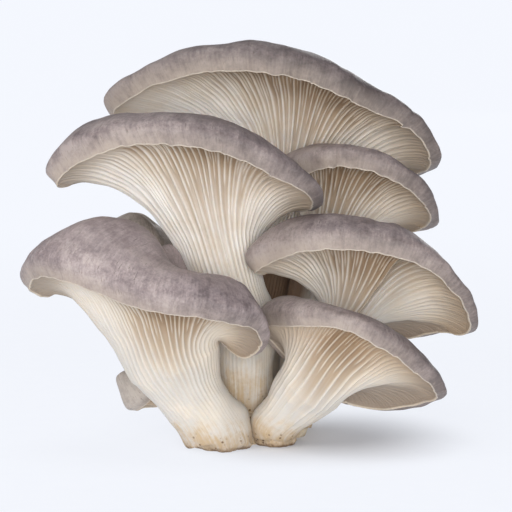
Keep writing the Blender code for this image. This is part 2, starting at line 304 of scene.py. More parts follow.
class Loft:
    """One closed body that is lofted through patches of rings from its foot to its top."""

    def __init__(self) -> None:
        """Start with no rings."""
        self.points: list[Array] = []
        self.reads: dict[str, list[Array]] = {"grain": [], "edge": [], "valley": [], "painted_shade": []}
        self.faces: list[tuple[int, ...]] = []
        self.skins: list[int] = []
        self.total = 0
        self.last: list[int] = []

    def wear(self, faces: Sequence[Sequence[int]], skin: Skin) -> None:
        """Add faces that wear a skin."""
        self.faces.extend(tuple(int(corner) for corner in face) for face in faces)
        self.skins.extend([skin.value] * len(faces))

    def join(self, ring: list[int], skin: Skin) -> None:
        """Join the last ring to the next one, whether or not they have the same count.

        Args:
            ring: numbers of the next ring's points.
            skin: the skin that the new faces wear.
        """
        below = self.last
        if len(below) == len(ring):
            turned = ring[1:] + ring[:1]
            self.wear(list(zip(below, below[1:] + below[:1], turned, ring)), skin)
        elif len(below) < len(ring):
            self.wear(uneven_strip(below, ring, flip=False), skin)
        else:
            self.wear(uneven_strip(ring, below, flip=True), skin)

    def add(self, patch: Patch) -> None:
        """Add a patch above what is there.

        Args:
            patch: the rings to add.
        """
        rings, count = patch.points.shape[:2]
        first = self.total
        if self.last:
            self.join(list(range(first, first + count)), patch.skin)
        else:
            self.wear([range(first + count - 1, first - 1, -1)], patch.skin)
        self.wear(ring_quads(first, rings, count), patch.skin)
        self.points.append(patch.points.reshape(-1, 3))
        self.reads["grain"].append(patch.grain.reshape(-1, 3))
        self.reads["edge"].append(patch.edge.reshape(-1))
        self.reads["valley"].append(patch.valley.reshape(-1))
        self.reads["painted_shade"].append(patch.painted_shade.reshape(-1))
        self.total += rings * count
        self.last = list(range(self.total - count, self.total))

    def made(
        self, name: str, materials: Sequence[bpy.types.Material], skin: Skin, weathered: float = 1.0
    ) -> bpy.types.Object:
        """Close the top and make the object.

        Args:
            name: the object's name.
            materials: one material for each skin, in the order of Skin.
            skin: the skin that the top face wears.
            weathered: how many times higher than usual the foot's stains reach.

        Returns:
            The object, in the scene's collection.
        """
        self.wear([self.last], skin)
        points = np.vstack(self.points)
        mesh = bpy.data.meshes.new(name)
        mesh.from_pydata((points * MM).tolist(), [], self.faces)
        for material in materials:
            mesh.materials.append(material)
        mesh.polygons.foreach_set("material_index", np.minimum(self.skins, len(materials) - 1))
        middle, half = 0.5 * (points[:, 0].max() + points[:, 0].min()), 0.5 * np.ptp(points[:, 0])
        reads = {key: np.concatenate(parts) for key, parts in self.reads.items()}
        reads["height"] = points[:, 2] / weathered
        # side runs from -1 at the left end to 1 at the right; the finishes paint shade by it, darker
        # toward the right end
        reads["side"] = (points[:, 0] - middle) / half
        for key, values in reads.items():
            is_vector = values.ndim == 2
            layer = mesh.attributes.new(key, "FLOAT_VECTOR" if is_vector else "FLOAT", "POINT")
            layer.data.foreach_set("vector" if is_vector else "value", values.astype(np.float32).ravel())
        mesh.shade_smooth()
        mesh.update()
        made = bpy.data.objects.new(name, mesh)
        bpy.context.scene.collection.objects.link(made)
        return made


# Shader nodes


class Value:
    """A material's socket that carries one number. Its arithmetic adds Math nodes."""

    def __init__(self, sheet: "NodeSheet", socket: bpy.types.NodeSocket) -> None:
        """Wrap a socket of a sheet of nodes."""
        self.sheet = sheet
        self.socket = socket

    def __add__(self, other: Any) -> "Value":
        """Return self + other."""
        return self.sheet.math("ADD", self, other)

    def __radd__(self, other: Any) -> "Value":
        """Return other + self."""
        return self.sheet.math("ADD", other, self)

    def __sub__(self, other: Any) -> "Value":
        """Return self - other."""
        return self.sheet.math("SUBTRACT", self, other)

    def __rsub__(self, other: Any) -> "Value":
        """Return other - self."""
        return self.sheet.math("SUBTRACT", other, self)

    def __mul__(self, other: Any) -> "Value":
        """Return self * other."""
        return self.sheet.math("MULTIPLY", self, other)

    def __rmul__(self, other: Any) -> "Value":
        """Return other * self."""
        return self.sheet.math("MULTIPLY", other, self)

    def __abs__(self) -> "Value":
        """Return self without its sign."""
        return self.sheet.math("ABSOLUTE", self)

    def eased(self, low: float, high: float) -> "Value":
        """Return self eased from 0 at low to 1 at high, where low may be the larger.

        Args:
            low: where the result is 0.
            high: where it is 1.

        Returns:
            The eased number.
        """
        backwards = low > high
        ends = {"From Min": min(low, high), "From Max": max(low, high)}
        if backwards:
            ends.update({"To Min": 1.0, "To Max": 0.0})
        settings = {"interpolation_type": "SMOOTHSTEP"}
        return self.sheet.value("ShaderNodeMapRange", settings, {"Value": self, **ends}, "Result")


class NodeSheet:
    """One material's nodes, written as expressions."""

    def __init__(self, name: str) -> None:
        """Make a material of that name with a shader and nothing on it yet.

        Args:
            name: the material's name.
        """
        self.material = bpy.data.materials.new(name)
        self.material.use_nodes = True
        self.tree = self.material.node_tree
        self.shader = self.tree.nodes["Principled BSDF"]

    def node(self, kind: str, settings: Mapping[str, Any], sockets: Mapping[Any, Any]) -> bpy.types.Node:
        """Add a node.

        Args:
            kind: the node's type.
            settings: its options, and "stops" for a ramp's (place, colour) pairs.
            sockets: a value or a link for each input, by name or number.

        Returns:
            The node.
        """
        made = self.tree.nodes.new(kind)
        for key, setting in settings.items():
            if key == "stops":
                self.set_stops(made.color_ramp, setting)
            else:
                setattr(made, key, setting)
        for key, given in sockets.items():
            self.feed(made.inputs[key], given)
        return made

    def set_stops(self, ramp: bpy.types.ColorRamp, stops: Sequence[tuple[float, Colour]]) -> None:
        """Give a ramp its stops.

        Args:
            ramp: the ramp.
            stops: a place and a colour for each stop.
        """
        while len(ramp.elements) < len(stops):
            ramp.elements.new(0.5)
        for element, (place, colour) in zip(ramp.elements, stops):
            element.position = place
            element.color = (*colour, 1.0)

    def feed(self, socket: bpy.types.NodeSocket, given: Any) -> None:
        """Link or set an input.

        Args:
            socket: the input.
            given: a value for it, or a link.
        """
        if isinstance(given, Value):
            self.tree.links.new(given.socket, socket)
        elif isinstance(given, bpy.types.NodeSocket):
            self.tree.links.new(given, socket)
        elif socket.type == "RGBA":
            socket.default_value = (*given, 1.0)
        else:
            socket.default_value = given

    def value(
        self, kind: str, settings: Mapping[str, Any], sockets: Mapping[Any, Any], output: Any
    ) -> Value:
        """Add a node and return the number that it puts out."""
        return Value(self, self.node(kind, settings, sockets).outputs[output])

    def math(self, operation: str, *terms: Any) -> Value:
        """Add a Math node."""
        return self.value("ShaderNodeMath", {"operation": operation}, dict(enumerate(terms)), 0)

    def read(self, name: str) -> Value:
        """Return a number that the mesh carries."""
        return self.value("ShaderNodeAttribute", {"attribute_name": name}, {}, "Fac")

    def grain(self, across: float, lengthwise: float) -> bpy.types.NodeSocket:
        """Return the streaks' place, with cycles per millimetre across them and along them.

        Args:
            across: cycles per millimetre across the streaks.
            lengthwise: cycles along them.

        Returns:
            The scaled place.
        """
        read = self.node("ShaderNodeAttribute", {"attribute_name": "grain"}, {}).outputs["Vector"]
        sockets = {0: read, 1: (across, across, lengthwise)}
        return self.node("ShaderNodeVectorMath", {"operation": "MULTIPLY"}, sockets).outputs[0]

    def noise(self, across: float, lengthwise: float, detail: float = 3.0, rough: float = 0.5) -> Value:
        """Return noise from 0 to 1 that is drawn out into streaks.

        Args:
            across: cycles per millimetre across the streaks.
            lengthwise: cycles per millimetre along them.
            detail: how many finer layers are added.
            rough: how strong each layer is against the one before.

        Returns:
            The noise.
        """
        sockets = {
            "Vector": self.grain(across, lengthwise),
            "Scale": 1.0,
            "Detail": detail,
            "Roughness": rough,
        }
        return self.value("ShaderNodeTexNoise", {}, sockets, 0)

    def solid(self, per_mm: float) -> bpy.types.NodeSocket:
        """Return the place in the solid itself, with cycles per millimetre.

        Args:
            per_mm: cycles per millimetre.

        Returns:
            The scaled place.
        """
        place = self.node("ShaderNodeTexCoord", {}, {}).outputs["Object"]
        sockets = {0: place, 1: (per_mm / MM,) * 3}
        return self.node("ShaderNodeVectorMath", {"operation": "MULTIPLY"}, sockets).outputs[0]

    def cloud(self, per_mm: float, detail: float = 3.0, rough: float = 0.5) -> Value:
        """Return noise from 0 to 1 that runs through the solid, without streaks."""
        sockets = {"Vector": self.solid(per_mm), "Scale": 1.0, "Detail": detail, "Roughness": rough}
        return self.value("ShaderNodeTexNoise", {}, sockets, 0)

    def specks(self, per_mm: float) -> Value:
        """Return the distance to the nearest of scattered points, in cells."""
        sockets = {"Vector": self.solid(per_mm), "Scale": 1.0, "Randomness": 1.0}
        return self.value("ShaderNodeTexVoronoi", {"feature": "F1"}, sockets, "Distance")

    def ramp(self, factor: Value, stops: Sequence[tuple[float, Colour]]) -> bpy.types.NodeSocket:
        """Return a colour picked along a ramp."""
        return self.node("ShaderNodeValToRGB", {"stops": stops}, {"Fac": factor}).outputs["Color"]

    def blend(self, factor: Any, below: Any, above: Any) -> bpy.types.NodeSocket:
        """Return below turned to above by factor, which is held between 0 and 1.

        Args:
            factor: share of the upper colour.
            below: the lower colour.
            above: the upper colour.

        Returns:
            The blended colour.
        """
        mix = self.node("ShaderNodeMix", {"data_type": "RGBA", "clamp_factor": True}, {})
        self.feed(mix.inputs[0], factor)
        self.feed(mix.inputs[6], below)
        self.feed(mix.inputs[7], above)
        return mix.outputs[2]

    def bump(self, height: Value, depth_mm: float, strength: float) -> bpy.types.NodeSocket:
        """Return a normal that is roughened by height."""
        sockets = {"Height": height, "Distance": depth_mm * MM, "Strength": strength}
        return self.node("ShaderNodeBump", {}, sockets).outputs["Normal"]

    def dress(self, sockets: Mapping[str, Any]) -> bpy.types.Material:
        """Feed the shader's own sockets and return the material.

        Args:
            sockets: a value or a link for each socket, by name.

        Returns:
            The material.
        """
        for key, given in sockets.items():
            self.feed(self.shader.inputs[key], given)
        return self.material


# Finishes


@dataclass(frozen=True)
class CapSkin:
    """The cap's satin skin: mauve grey, with fine fibres that run in from a paler edge.

    Attributes:
        dark: colour of the deepest blotches.
        middle: the skin's main colour.
        light: colour of the palest streaks.
        hair: colour of the short dark hairs.
        margin: colour of the band along the edge.
        lip: colour of the edge itself.
        crown: colour that the skin darkens to away from the edge.
        tone_stops: tones that turn dark, middle and light.
        broad_contrast: how strongly blotches and mottle change the tone.
        fine_contrast: how strongly fibres and grit change it.
        crown_fade: distances from the edge between which the crown's colour comes in.
        margin_width: how far in the pale band fades.
        side_shade: how much darker it is painted at its right end than at its left, as painted shade for
            the side turned from the light.
        roughness: the skin's mean roughness.
    """

    dark: Colour = (0.098, 0.078, 0.082)
    middle: Colour = (0.212, 0.174, 0.177)
    light: Colour = (0.365, 0.312, 0.302)
    hair: Colour = (0.060, 0.044, 0.043)
    margin: Colour = (0.420, 0.350, 0.290)
    lip: Colour = (0.570, 0.500, 0.420)
    crown: Colour = (0.080, 0.064, 0.068)
    tone_stops: Point = (0.16, 0.50, 0.84)
    broad_contrast: float = 1.1
    fine_contrast: float = 0.50
    crown_fade: tuple[float, float] = (8.0, 21.0)
    margin_width: float = 9.0
    side_shade: float = 0.25
    roughness: float = 0.50

    def times(self, share: float) -> "CapSkin":
        """Return the skin with its greys made darker or paler by a share.

        Args:
            share: what each grey is multiplied by.

        Returns:
            The changed skin.
        """
        names = ("dark", "middle", "light", "hair", "crown")
        scaled = {name: tuple(share * part for part in getattr(self, name)) for name in names}
        return replace(self, **scaled)

    def make(self, name: str) -> bpy.types.Material:
        """Make the material.

        Args:
            name: the material's name.

        Returns:
            The material.
        """
        sheet = NodeSheet(name)
        edge = sheet.read("edge")
        blotch = sheet.cloud(0.050, 3.0, 0.55)
        mottle = sheet.cloud(0.22, 5.0, 0.66)
        fibre = sheet.noise(1.1, 0.11, 4.0, 0.60)
        hair = sheet.noise(2.1, 0.34, 2.0, 0.55)
        grit = sheet.cloud(1.3, 3.0, 0.6)
        side = sheet.read("side")
        tone = 0.5 + (blotch - 0.5) * self.broad_contrast + (mottle - 0.5) * self.broad_contrast
        tone = tone + (fibre - 0.5) * self.fine_contrast + (grit - 0.5) * self.fine_contrast
        # Painted shade: darker toward the right end, which is turned from the light
        tone = tone - side * self.side_shade
        skin = sheet.ramp(tone, tuple(zip(self.tone_stops, (self.dark, self.middle, self.light))))
        skin = sheet.blend(edge.eased(*self.crown_fade) * (0.05 + blotch * 0.65), skin, self.crown)
        skin = sheet.blend(hair.eased(0.61, 0.70) * mottle.eased(0.42, 0.58) * 0.60, skin, self.hair)
        paleness = edge.eased(self.margin_width, 0.0) * (fibre * 0.5 + mottle * 0.8 - 0.05)
        # Painted shade: the pale margin band fades toward the right end
        skin = sheet.blend(paleness * (0.85 - side * 0.40), skin, self.margin)
        worn = 0.25 + sheet.noise(0.30, 0.30, 3.0) * 1.2
        skin = sheet.blend((edge + fibre * 0.6).eased(0.80, 0.42) * worn, skin, self.lip)
        relief = fibre * 0.6 + hair * 0.35 + grit * 0.2 + mottle * 0.6
        return sheet.dress(
            {
                "Base Color": skin,
                "Roughness": self.roughness + (mottle - 0.5) * 0.2 + (grit - 0.5) * 0.15,
                "Normal": sheet.bump(relief, 0.40, 0.60),
                "Specular IOR Level": 0.30,
                "Subsurface Weight": 0.06,
                "Subsurface Radius": (1.0, 0.6, 0.4),
                "Subsurface Scale": 0.002,
            }
        )


@dataclass(frozen=True)
class GillFlesh:
    """Cream gills and stem, with painted shade: tan between the gills and under the edge, darker flesh
    behind the stem, at the ends, in the fold, in the crevices and low down; ochre stains and brown specks
    at the foot.

    Attributes:
        cream: colour of ridges and stem.
        low_shaded_cream: the cream painted darker near the floor, as painted shade against the extra light
            that the low flesh gets.
        warm: a warmer cream that wanders through it.
        beige: colour that the underside takes on toward the edge, with more of it toward the right end as
            painted shade.
        tan: colour of painted shade between the gills and in a band under the edge, and of the stains low
            on the foot.
        deep_shade: the darkest brown, painted shade deep between the gills close to the edge and in the
            crevices between the stems.
        shaded_flesh: colour of painted shade on the flesh that is turned away from the gilled side, at the
            underside's ends and in the fold.
        lip: colour of the cap's edge.
        ochre: colour of the stains on the foot.
        speck: colour of the specks on the foot.
        rise: heights in metres between which the darker low cream, painted shade, turns to cream.
        beige_reach: distances from the edge, below 0 on the flesh, between which beige comes in.
        deep_shade_reach: the same for the darkest painted shade between the gills.
        rim_shadow_reach: the same for the painted shadow of tan in a band just under the edge.
        hollow_shade: depths between gills, as shares, between which tan comes in as painted shade.
        stain_height: how far up the stains reach.
        roughness: the flesh's mean roughness.
    """

    cream: Colour = (0.890, 0.855, 0.805)
    low_shaded_cream: Colour = (0.625, 0.592, 0.545)
    warm: Colour = (0.760, 0.675, 0.560)
    beige: Colour = (0.560, 0.465, 0.355)
    tan: Colour = (0.345, 0.240, 0.148)
    deep_shade: Colour = (0.150, 0.085, 0.045)
    shaded_flesh: Colour = (0.260, 0.215, 0.178)
    lip: Colour = (0.600, 0.520, 0.425)
    ochre: Colour = (0.500, 0.345, 0.170)
    speck: Colour = (0.130, 0.070, 0.030)
    rise: tuple[float, float] = (0.032, 0.072)
    beige_reach: tuple[float, float] = (-40.0, -3.0)
    deep_shade_reach: tuple[float, float] = (-20.0, -3.0)
    rim_shadow_reach: tuple[float, float] = (-19.0, -0.5)
    hollow_shade: tuple[float, float] = (0.20, 0.78)
    stain_height: float = 17.0
    roughness: float = 0.62

    def make(self, name: str) -> bpy.types.Material:
        """Make the material.

        Args:
            name: the material's name.

        Returns:
            The material.
        """
        sheet = NodeSheet(name)
        edge = sheet.read("edge")
        valley = sheet.read("valley")
        height = sheet.read("height")
        wander = sheet.noise(0.06, 0.03, 3.0)
        patch = sheet.cloud(0.09, 4.0, 0.6)
        streak = sheet.noise(0.9, 0.05, 4.0, 0.6)
        fibre = sheet.noise(3.0, 0.22, 3.0, 0.6)
        side = sheet.read("side")
        place = sheet.node("ShaderNodeTexCoord", {}, {}).outputs["Object"]
        # Painted shade: the flesh is darker low down, where it gets more light from the floor and the
        # front
        rise = sheet.value("ShaderNodeSeparateXYZ", {}, {0: place}, "Z").eased(*self.rise)
        warmth = (patch.eased(0.42, 0.70) * 0.6) + (streak.eased(0.52, 0.78) * 0.35)
        flesh = sheet.blend(warmth, sheet.blend(rise, self.low_shaded_cream, self.cream), self.warm)
        under_edge = edge.eased(*self.beige_reach)
        # Beige toward the edge, wandering at random, and stronger toward the right end as painted shade
        flesh = sheet.blend(under_edge * (0.26 + wander * 0.6 + side * 0.20), flesh, self.beige)
        strand = sheet.noise(0.75, 0.02, 2.0, 0.5).eased(0.44, 0.62)
        # Beige streaks, a little stronger between the gills as painted shade
        flesh = sheet.blend(strand * (0.12 + valley * 0.5), flesh, self.beige)
        # Painted shade: tan between the gills, stronger near the edge
        hollow_shade = valley.eased(*self.hollow_shade)
        flesh = sheet.blend(hollow_shade * (0.45 + under_edge * 0.50), flesh, self.tan)
        # Painted shade: the darkest brown deep between the gills just inside the edge, in patches
        deep = hollow_shade * edge.eased(*self.deep_shade_reach) * wander.eased(0.30, 0.58)
        flesh = sheet.blend(deep * 0.80, flesh, self.deep_shade)
        # Painted shadow: a tan band under the cap's edge, stronger toward the right end and weaker higher
        # up
        rim_shadow = 0.72 + side * 0.12 - rise * 0.20
        flesh = sheet.blend(edge.eased(*self.rim_shadow_reach) * rim_shadow, flesh, self.tan)
        # Painted shade: flesh behind the stem, at the ends and in the fold is darker, and darkest brown in
        # the crevices between the stems
        painted_shade = sheet.read("painted_shade")
        flesh = sheet.blend(painted_shade.eased(0.0, 1.0) * 0.72, flesh, self.shaded_flesh)
        flesh = sheet.blend(painted_shade.eased(0.9, 1.9) * 0.88, flesh, self.deep_shade)
        flesh = sheet.blend(abs(edge).eased(0.9, 0.35) * (0.35 + streak), flesh, self.lip)
        low = height.eased(self.stain_height, 0.0)
        blot = sheet.cloud(0.17, 5.0, 0.68)
        smear = sheet.noise(0.35, 0.09, 4.0, 0.6)
        stain = (blot * 0.55 + smear * 0.5 + low * 0.20).eased(0.52, 0.80) * low.eased(0.02, 0.50)
        flesh = sheet.blend(stain * 0.75, flesh, self.ochre)
        flesh = sheet.blend(height.eased(8.0, 0.0) * (0.15 + blot * 0.6), flesh, self.tan)
        crumb = sheet.cloud(0.55, 3.0, 0.6)
        brink = (height * 0.20 + blot * 0.6 + crumb * 0.9).eased(1.15, 0.75)
        flesh = sheet.blend(brink * 0.78, flesh, self.speck)
        dot = sheet.specks(0.50).eased(0.27, 0.15)
        crowd = sheet.cloud(0.16, 2.0).eased(0.36, 0.52)
        flesh = sheet.blend(dot * crowd * height.eased(8.0, 3.5) * 0.9, flesh, self.speck)
        relief = fibre * 0.5 + streak * 0.8 + (blot * 1.6 + crumb * 1.4) * low
        return sheet.dress(
            {
                "Base Color": flesh,
                "Roughness": self.roughness + (fibre - 0.5) * 0.2,
                "Normal": sheet.bump(relief, 0.25, 0.45),
                "Specular IOR Level": 0.28,
                "Subsurface Weight": 0.16,
                "Subsurface Radius": (1.0, 0.72, 0.45),
                "Subsurface Scale": 0.003,
            }
        )


@dataclass(frozen=True)
class ButtFlesh:
    """The trimmed butt's coarse flesh: tan fibres with dark crumbs of what it grew on.

    Attributes:
        pale: colour of clean flesh.
        tan: colour of weathered flesh.
        brown: colour in the cracks.
        crumb: colour of the crumbs.
        roughness: the flesh's mean roughness.
    """

    pale: Colour = (0.700, 0.610, 0.470)
    tan: Colour = (0.480, 0.350, 0.200)
    brown: Colour = (0.200, 0.120, 0.060)
    crumb: Colour = (0.090, 0.050, 0.025)
    roughness: float = 0.78

    def make(self, name: str) -> bpy.types.Material:
        """Make the material.

        Args:
            name: the material's name.

        Returns:
            The material.
        """
        sheet = NodeSheet(name)
        cracks = sheet.read("valley")
        patch = sheet.cloud(0.12, 4.0, 0.6)
        fibre = sheet.noise(0.9, 0.25, 5.0, 0.65)
        flesh = sheet.blend(patch.eased(0.38, 0.66), self.pale, self.tan)
        flesh = sheet.blend((fibre + cracks * 0.5).eased(0.58, 0.95) * 0.8, flesh, self.brown)
        dots = sheet.specks(0.55).eased(0.24, 0.14) * sheet.cloud(0.15, 2.0).eased(0.45, 0.60)
        flesh = sheet.blend(dots * 0.9, flesh, self.crumb)
        relief = fibre + dots * 0.8 + patch * 0.6
        return sheet.dress(
            {
                "Base Color": flesh,
                "Roughness": self.roughness + (fibre - 0.5) * 0.2,
                "Normal": sheet.bump(relief, 0.6, 0.7),
                "Specular IOR Level": 0.25,
                "Subsurface Weight": 0.08,
                "Subsurface Radius": (1.0, 0.7, 0.4),
                "Subsurface Scale": 0.002,
            }
        )


@dataclass(frozen=True)
class StagePaper:
    """Matt pale paper for the floor and backdrop, lit partly from within so that shadows stay soft.

    Attributes:
        colour: the paper's colour.
        close_glow: share of its light that is its own under the cluster.
        close_albedo: share of other light that it gives back there.
        near_glow: share of its light that is its own a hand's breadth away.
        near_albedo: share of other light that it gives back there.
        shade_middle: the place under the cluster where the deepest shade lies.
        near: distances in metres from it between which the paper turns from close to near.
        fade: distances in metres between which it turns to paper that only glows.
        wall_glow: share of its light that is its own high on the wall.
        wall_fade: heights in metres between which it turns to that.
    """

    colour: Colour = (0.905, 0.930, 0.991)
    close_glow: float = 0.08
    close_albedo: float = 0.80
    near_glow: float = 0.89
    near_albedo: float = 0.11
    shade_middle: Point = (0.024, 0.004, 0.0)
    near: tuple[float, float] = (0.010, 0.056)
    fade: tuple[float, float] = (0.12, 0.60)
    wall_glow: float = 0.30
    wall_fade: tuple[float, float] = (0.15, 0.9)

    def shaded(self, share: float) -> Colour:
        """Return the paper's colour times a share."""
        red, green, blue = self.colour
        return red * share, green * share, blue * share

    def make(self, name: str) -> bpy.types.Material:
        """Make the material.

        Args:
            name: the material's name.

        Returns:
            The material.
        """
        sheet = NodeSheet(name)
        fleck = sheet.value("ShaderNodeTexNoise", {}, {"Scale": 900.0, "Detail": 2.0}, 0)
        place = sheet.node("ShaderNodeTexCoord", {}, {}).outputs["Object"]
        middle = {0: place, 1: self.shade_middle}
        away = sheet.value("ShaderNodeVectorMath", {"operation": "DISTANCE"}, middle, "Value")
        far = away.eased(*self.fade)
        high = sheet.value("ShaderNodeSeparateXYZ", {}, {0: place}, "Z").eased(*self.wall_fade)
        beside = away.eased(*self.near)
        albedo = sheet.blend(beside, self.shaded(self.close_albedo), self.shaded(self.near_albedo))
        glow = sheet.blend(beside, self.shaded(self.close_glow), self.shaded(self.near_glow))
        paper = sheet.blend(fleck * 0.02, albedo, self.colour)
        glow = sheet.blend(far, glow, self.colour)
        return sheet.dress(
            {
                "Base Color": sheet.blend(far, paper, (0.01, 0.01, 0.01)),
                "Roughness": 0.95,
                "Specular IOR Level": 0.0,
                "Emission Color": sheet.blend(high, glow, self.shaded(self.wall_glow)),
                "Emission Strength": 1.0,
            }
        )


@dataclass(frozen=True)
class Finishes:
    """The materials that the cluster wears."""

    caps: dict[CapLighting, bpy.types.Material]
    flesh: bpy.types.Material
    butt: bpy.types.Material


# The mushrooms


@dataclass(frozen=True)
class Gills:
    """How gill ridges stand on the underside and run down the stem.

    Attributes:
        samples: points across one gill.
        depth: depth of the valleys just inside the edge.
        neck_depth: depth where the underside meets the stem.
        stem_start: how far up the stem the gills fade out, as a share of its length.
        width: how far from a ridge its flank reaches.
        lip: width of the smooth lip at the edge.
        second_start: where the ridges between the longest start, as shares of the way out.
        third_start: where the shortest ridges start.
        start_length: share of the way out over which a ridge rises.
        tall: lowest and highest of the longest ridges.
        second_tall: height of the ridges between them, as a share.
        third_tall: height of the shortest ridges, as a share.
        crest: how flat a ridge's crest is, from 1 for a sharp one.
    """

    samples: int = 5
    depth: float = 1.25
    neck_depth: float = 0.45
    stem_start: float = 0.16
    width: float = 0.45
    lip: float = 0.7
    second_start: tuple[float, float] = (0.22, 0.46)
    third_start: tuple[float, float] = (0.52, 0.74)
    start_length: float = 0.16
    tall: tuple[float, float] = (0.72, 0.95)
    second_tall: float = 0.90
    third_tall: float = 0.74
    crest: float = 1.4

    # Neighbouring ridges that are looked at, before and after the nearest
    NEAR = range(-5, 7)

    def starts(self, count: int, rng: np.random.Generator) -> Array:
        """Return where each of count ridges starts on the way out, below 0 for the longest.

        Args:
            count: how many ridges go round.
            rng: source of the random draws.

        Returns:
            A start for each ridge.
        """
        starts = np.full(count, -1.0)
        starts[2::4] = rng.uniform(*self.second_start, len(starts[2::4]))
        starts[1::2] = rng.uniform(*self.third_start, len(starts[1::2]))
        return starts

    def heights(self, count: int, out: Array, pitch: Array, seed: int) -> Array:
        """Return how high the ridges stand, 0 in a valley and 1 on a full ridge.

        Args:
            count: how many ridges go round.
            out: for each ring, how far out it is, 0 at the neck and 1 at the edge.
            pitch: for each ring and point, the local distance between ridges.
            seed: picks the ridges' starts and heights.

        Returns:
            A height for each ring and point.
        """
        rng = np.random.default_rng(seed)
        starts = self.starts(count, rng)
        tall = rng.uniform(*self.tall, count)
        tall[2::4] *= self.second_tall
        tall[1::2] *= self.third_tall
        place = np.arange(count * self.samples) / self.samples
        nearest = np.floor(place).astype(int)
        best = np.zeros(pitch.shape)
        for offset in self.NEAR:
            ridge = nearest + offset
            gap = np.abs(place - ridge)[None, :] * pitch
            which = ridge % count
            there = ease((out[:, None] - starts[which][None, :]) / self.start_length)
            there = there * tall[which][None, :]
            best = np.maximum(best, there * np.exp(-((gap / self.width) ** self.crest)))
        return best / self.tall[1]


@dataclass(frozen=True)
class ShadedCrevice:
    """A pocket between the stems whose flesh is painted dark, as painted shade where the stems shade one
    another.

    Attributes:
        middle: its middle, in millimetres.
        reach: how far it reaches each way, in millimetres.
    """

    middle: Point
    reach: Point

    # Share of the reach over which the painted shade comes in
    FADE = 0.6

    def at(self, places: Array) -> Array:
        """Return how far into the pocket each place lies, 0 outside it and 1 in the middle."""
        away = np.linalg.norm((places - np.array(self.middle)) / np.array(self.reach), axis=-1)
        return ease((1.0 - away) / self.FADE)


# Shares at which rings lie: up the stem, out along the underside, and in over the cap
STEM_SHARES = np.concatenate((np.array((0.0, 0.02, 0.05, 0.09)), np.linspace(0.12, 1.0, 34)))
OUT_SHARES = np.concatenate((np.linspace(0.02, 0.90, 32), (0.925, 0.945, 0.962, 0.976, 0.988, 1.0)))
CAP_SHARES = np.concatenate(((0.006, 0.015, 0.03, 0.05, 0.075, 0.105), np.linspace(0.14, 0.97, 30)))

# Pockets between the stems where the flesh is painted dark as shade
SHADED_CREVICES = (
    ShadedCrevice((9.0, 24.0, 50.0), (14.0, 22.0, 14.0)),
    ShadedCrevice((7.0, 9.0, 16.0), (5.0, 10.0, 16.0)),
)


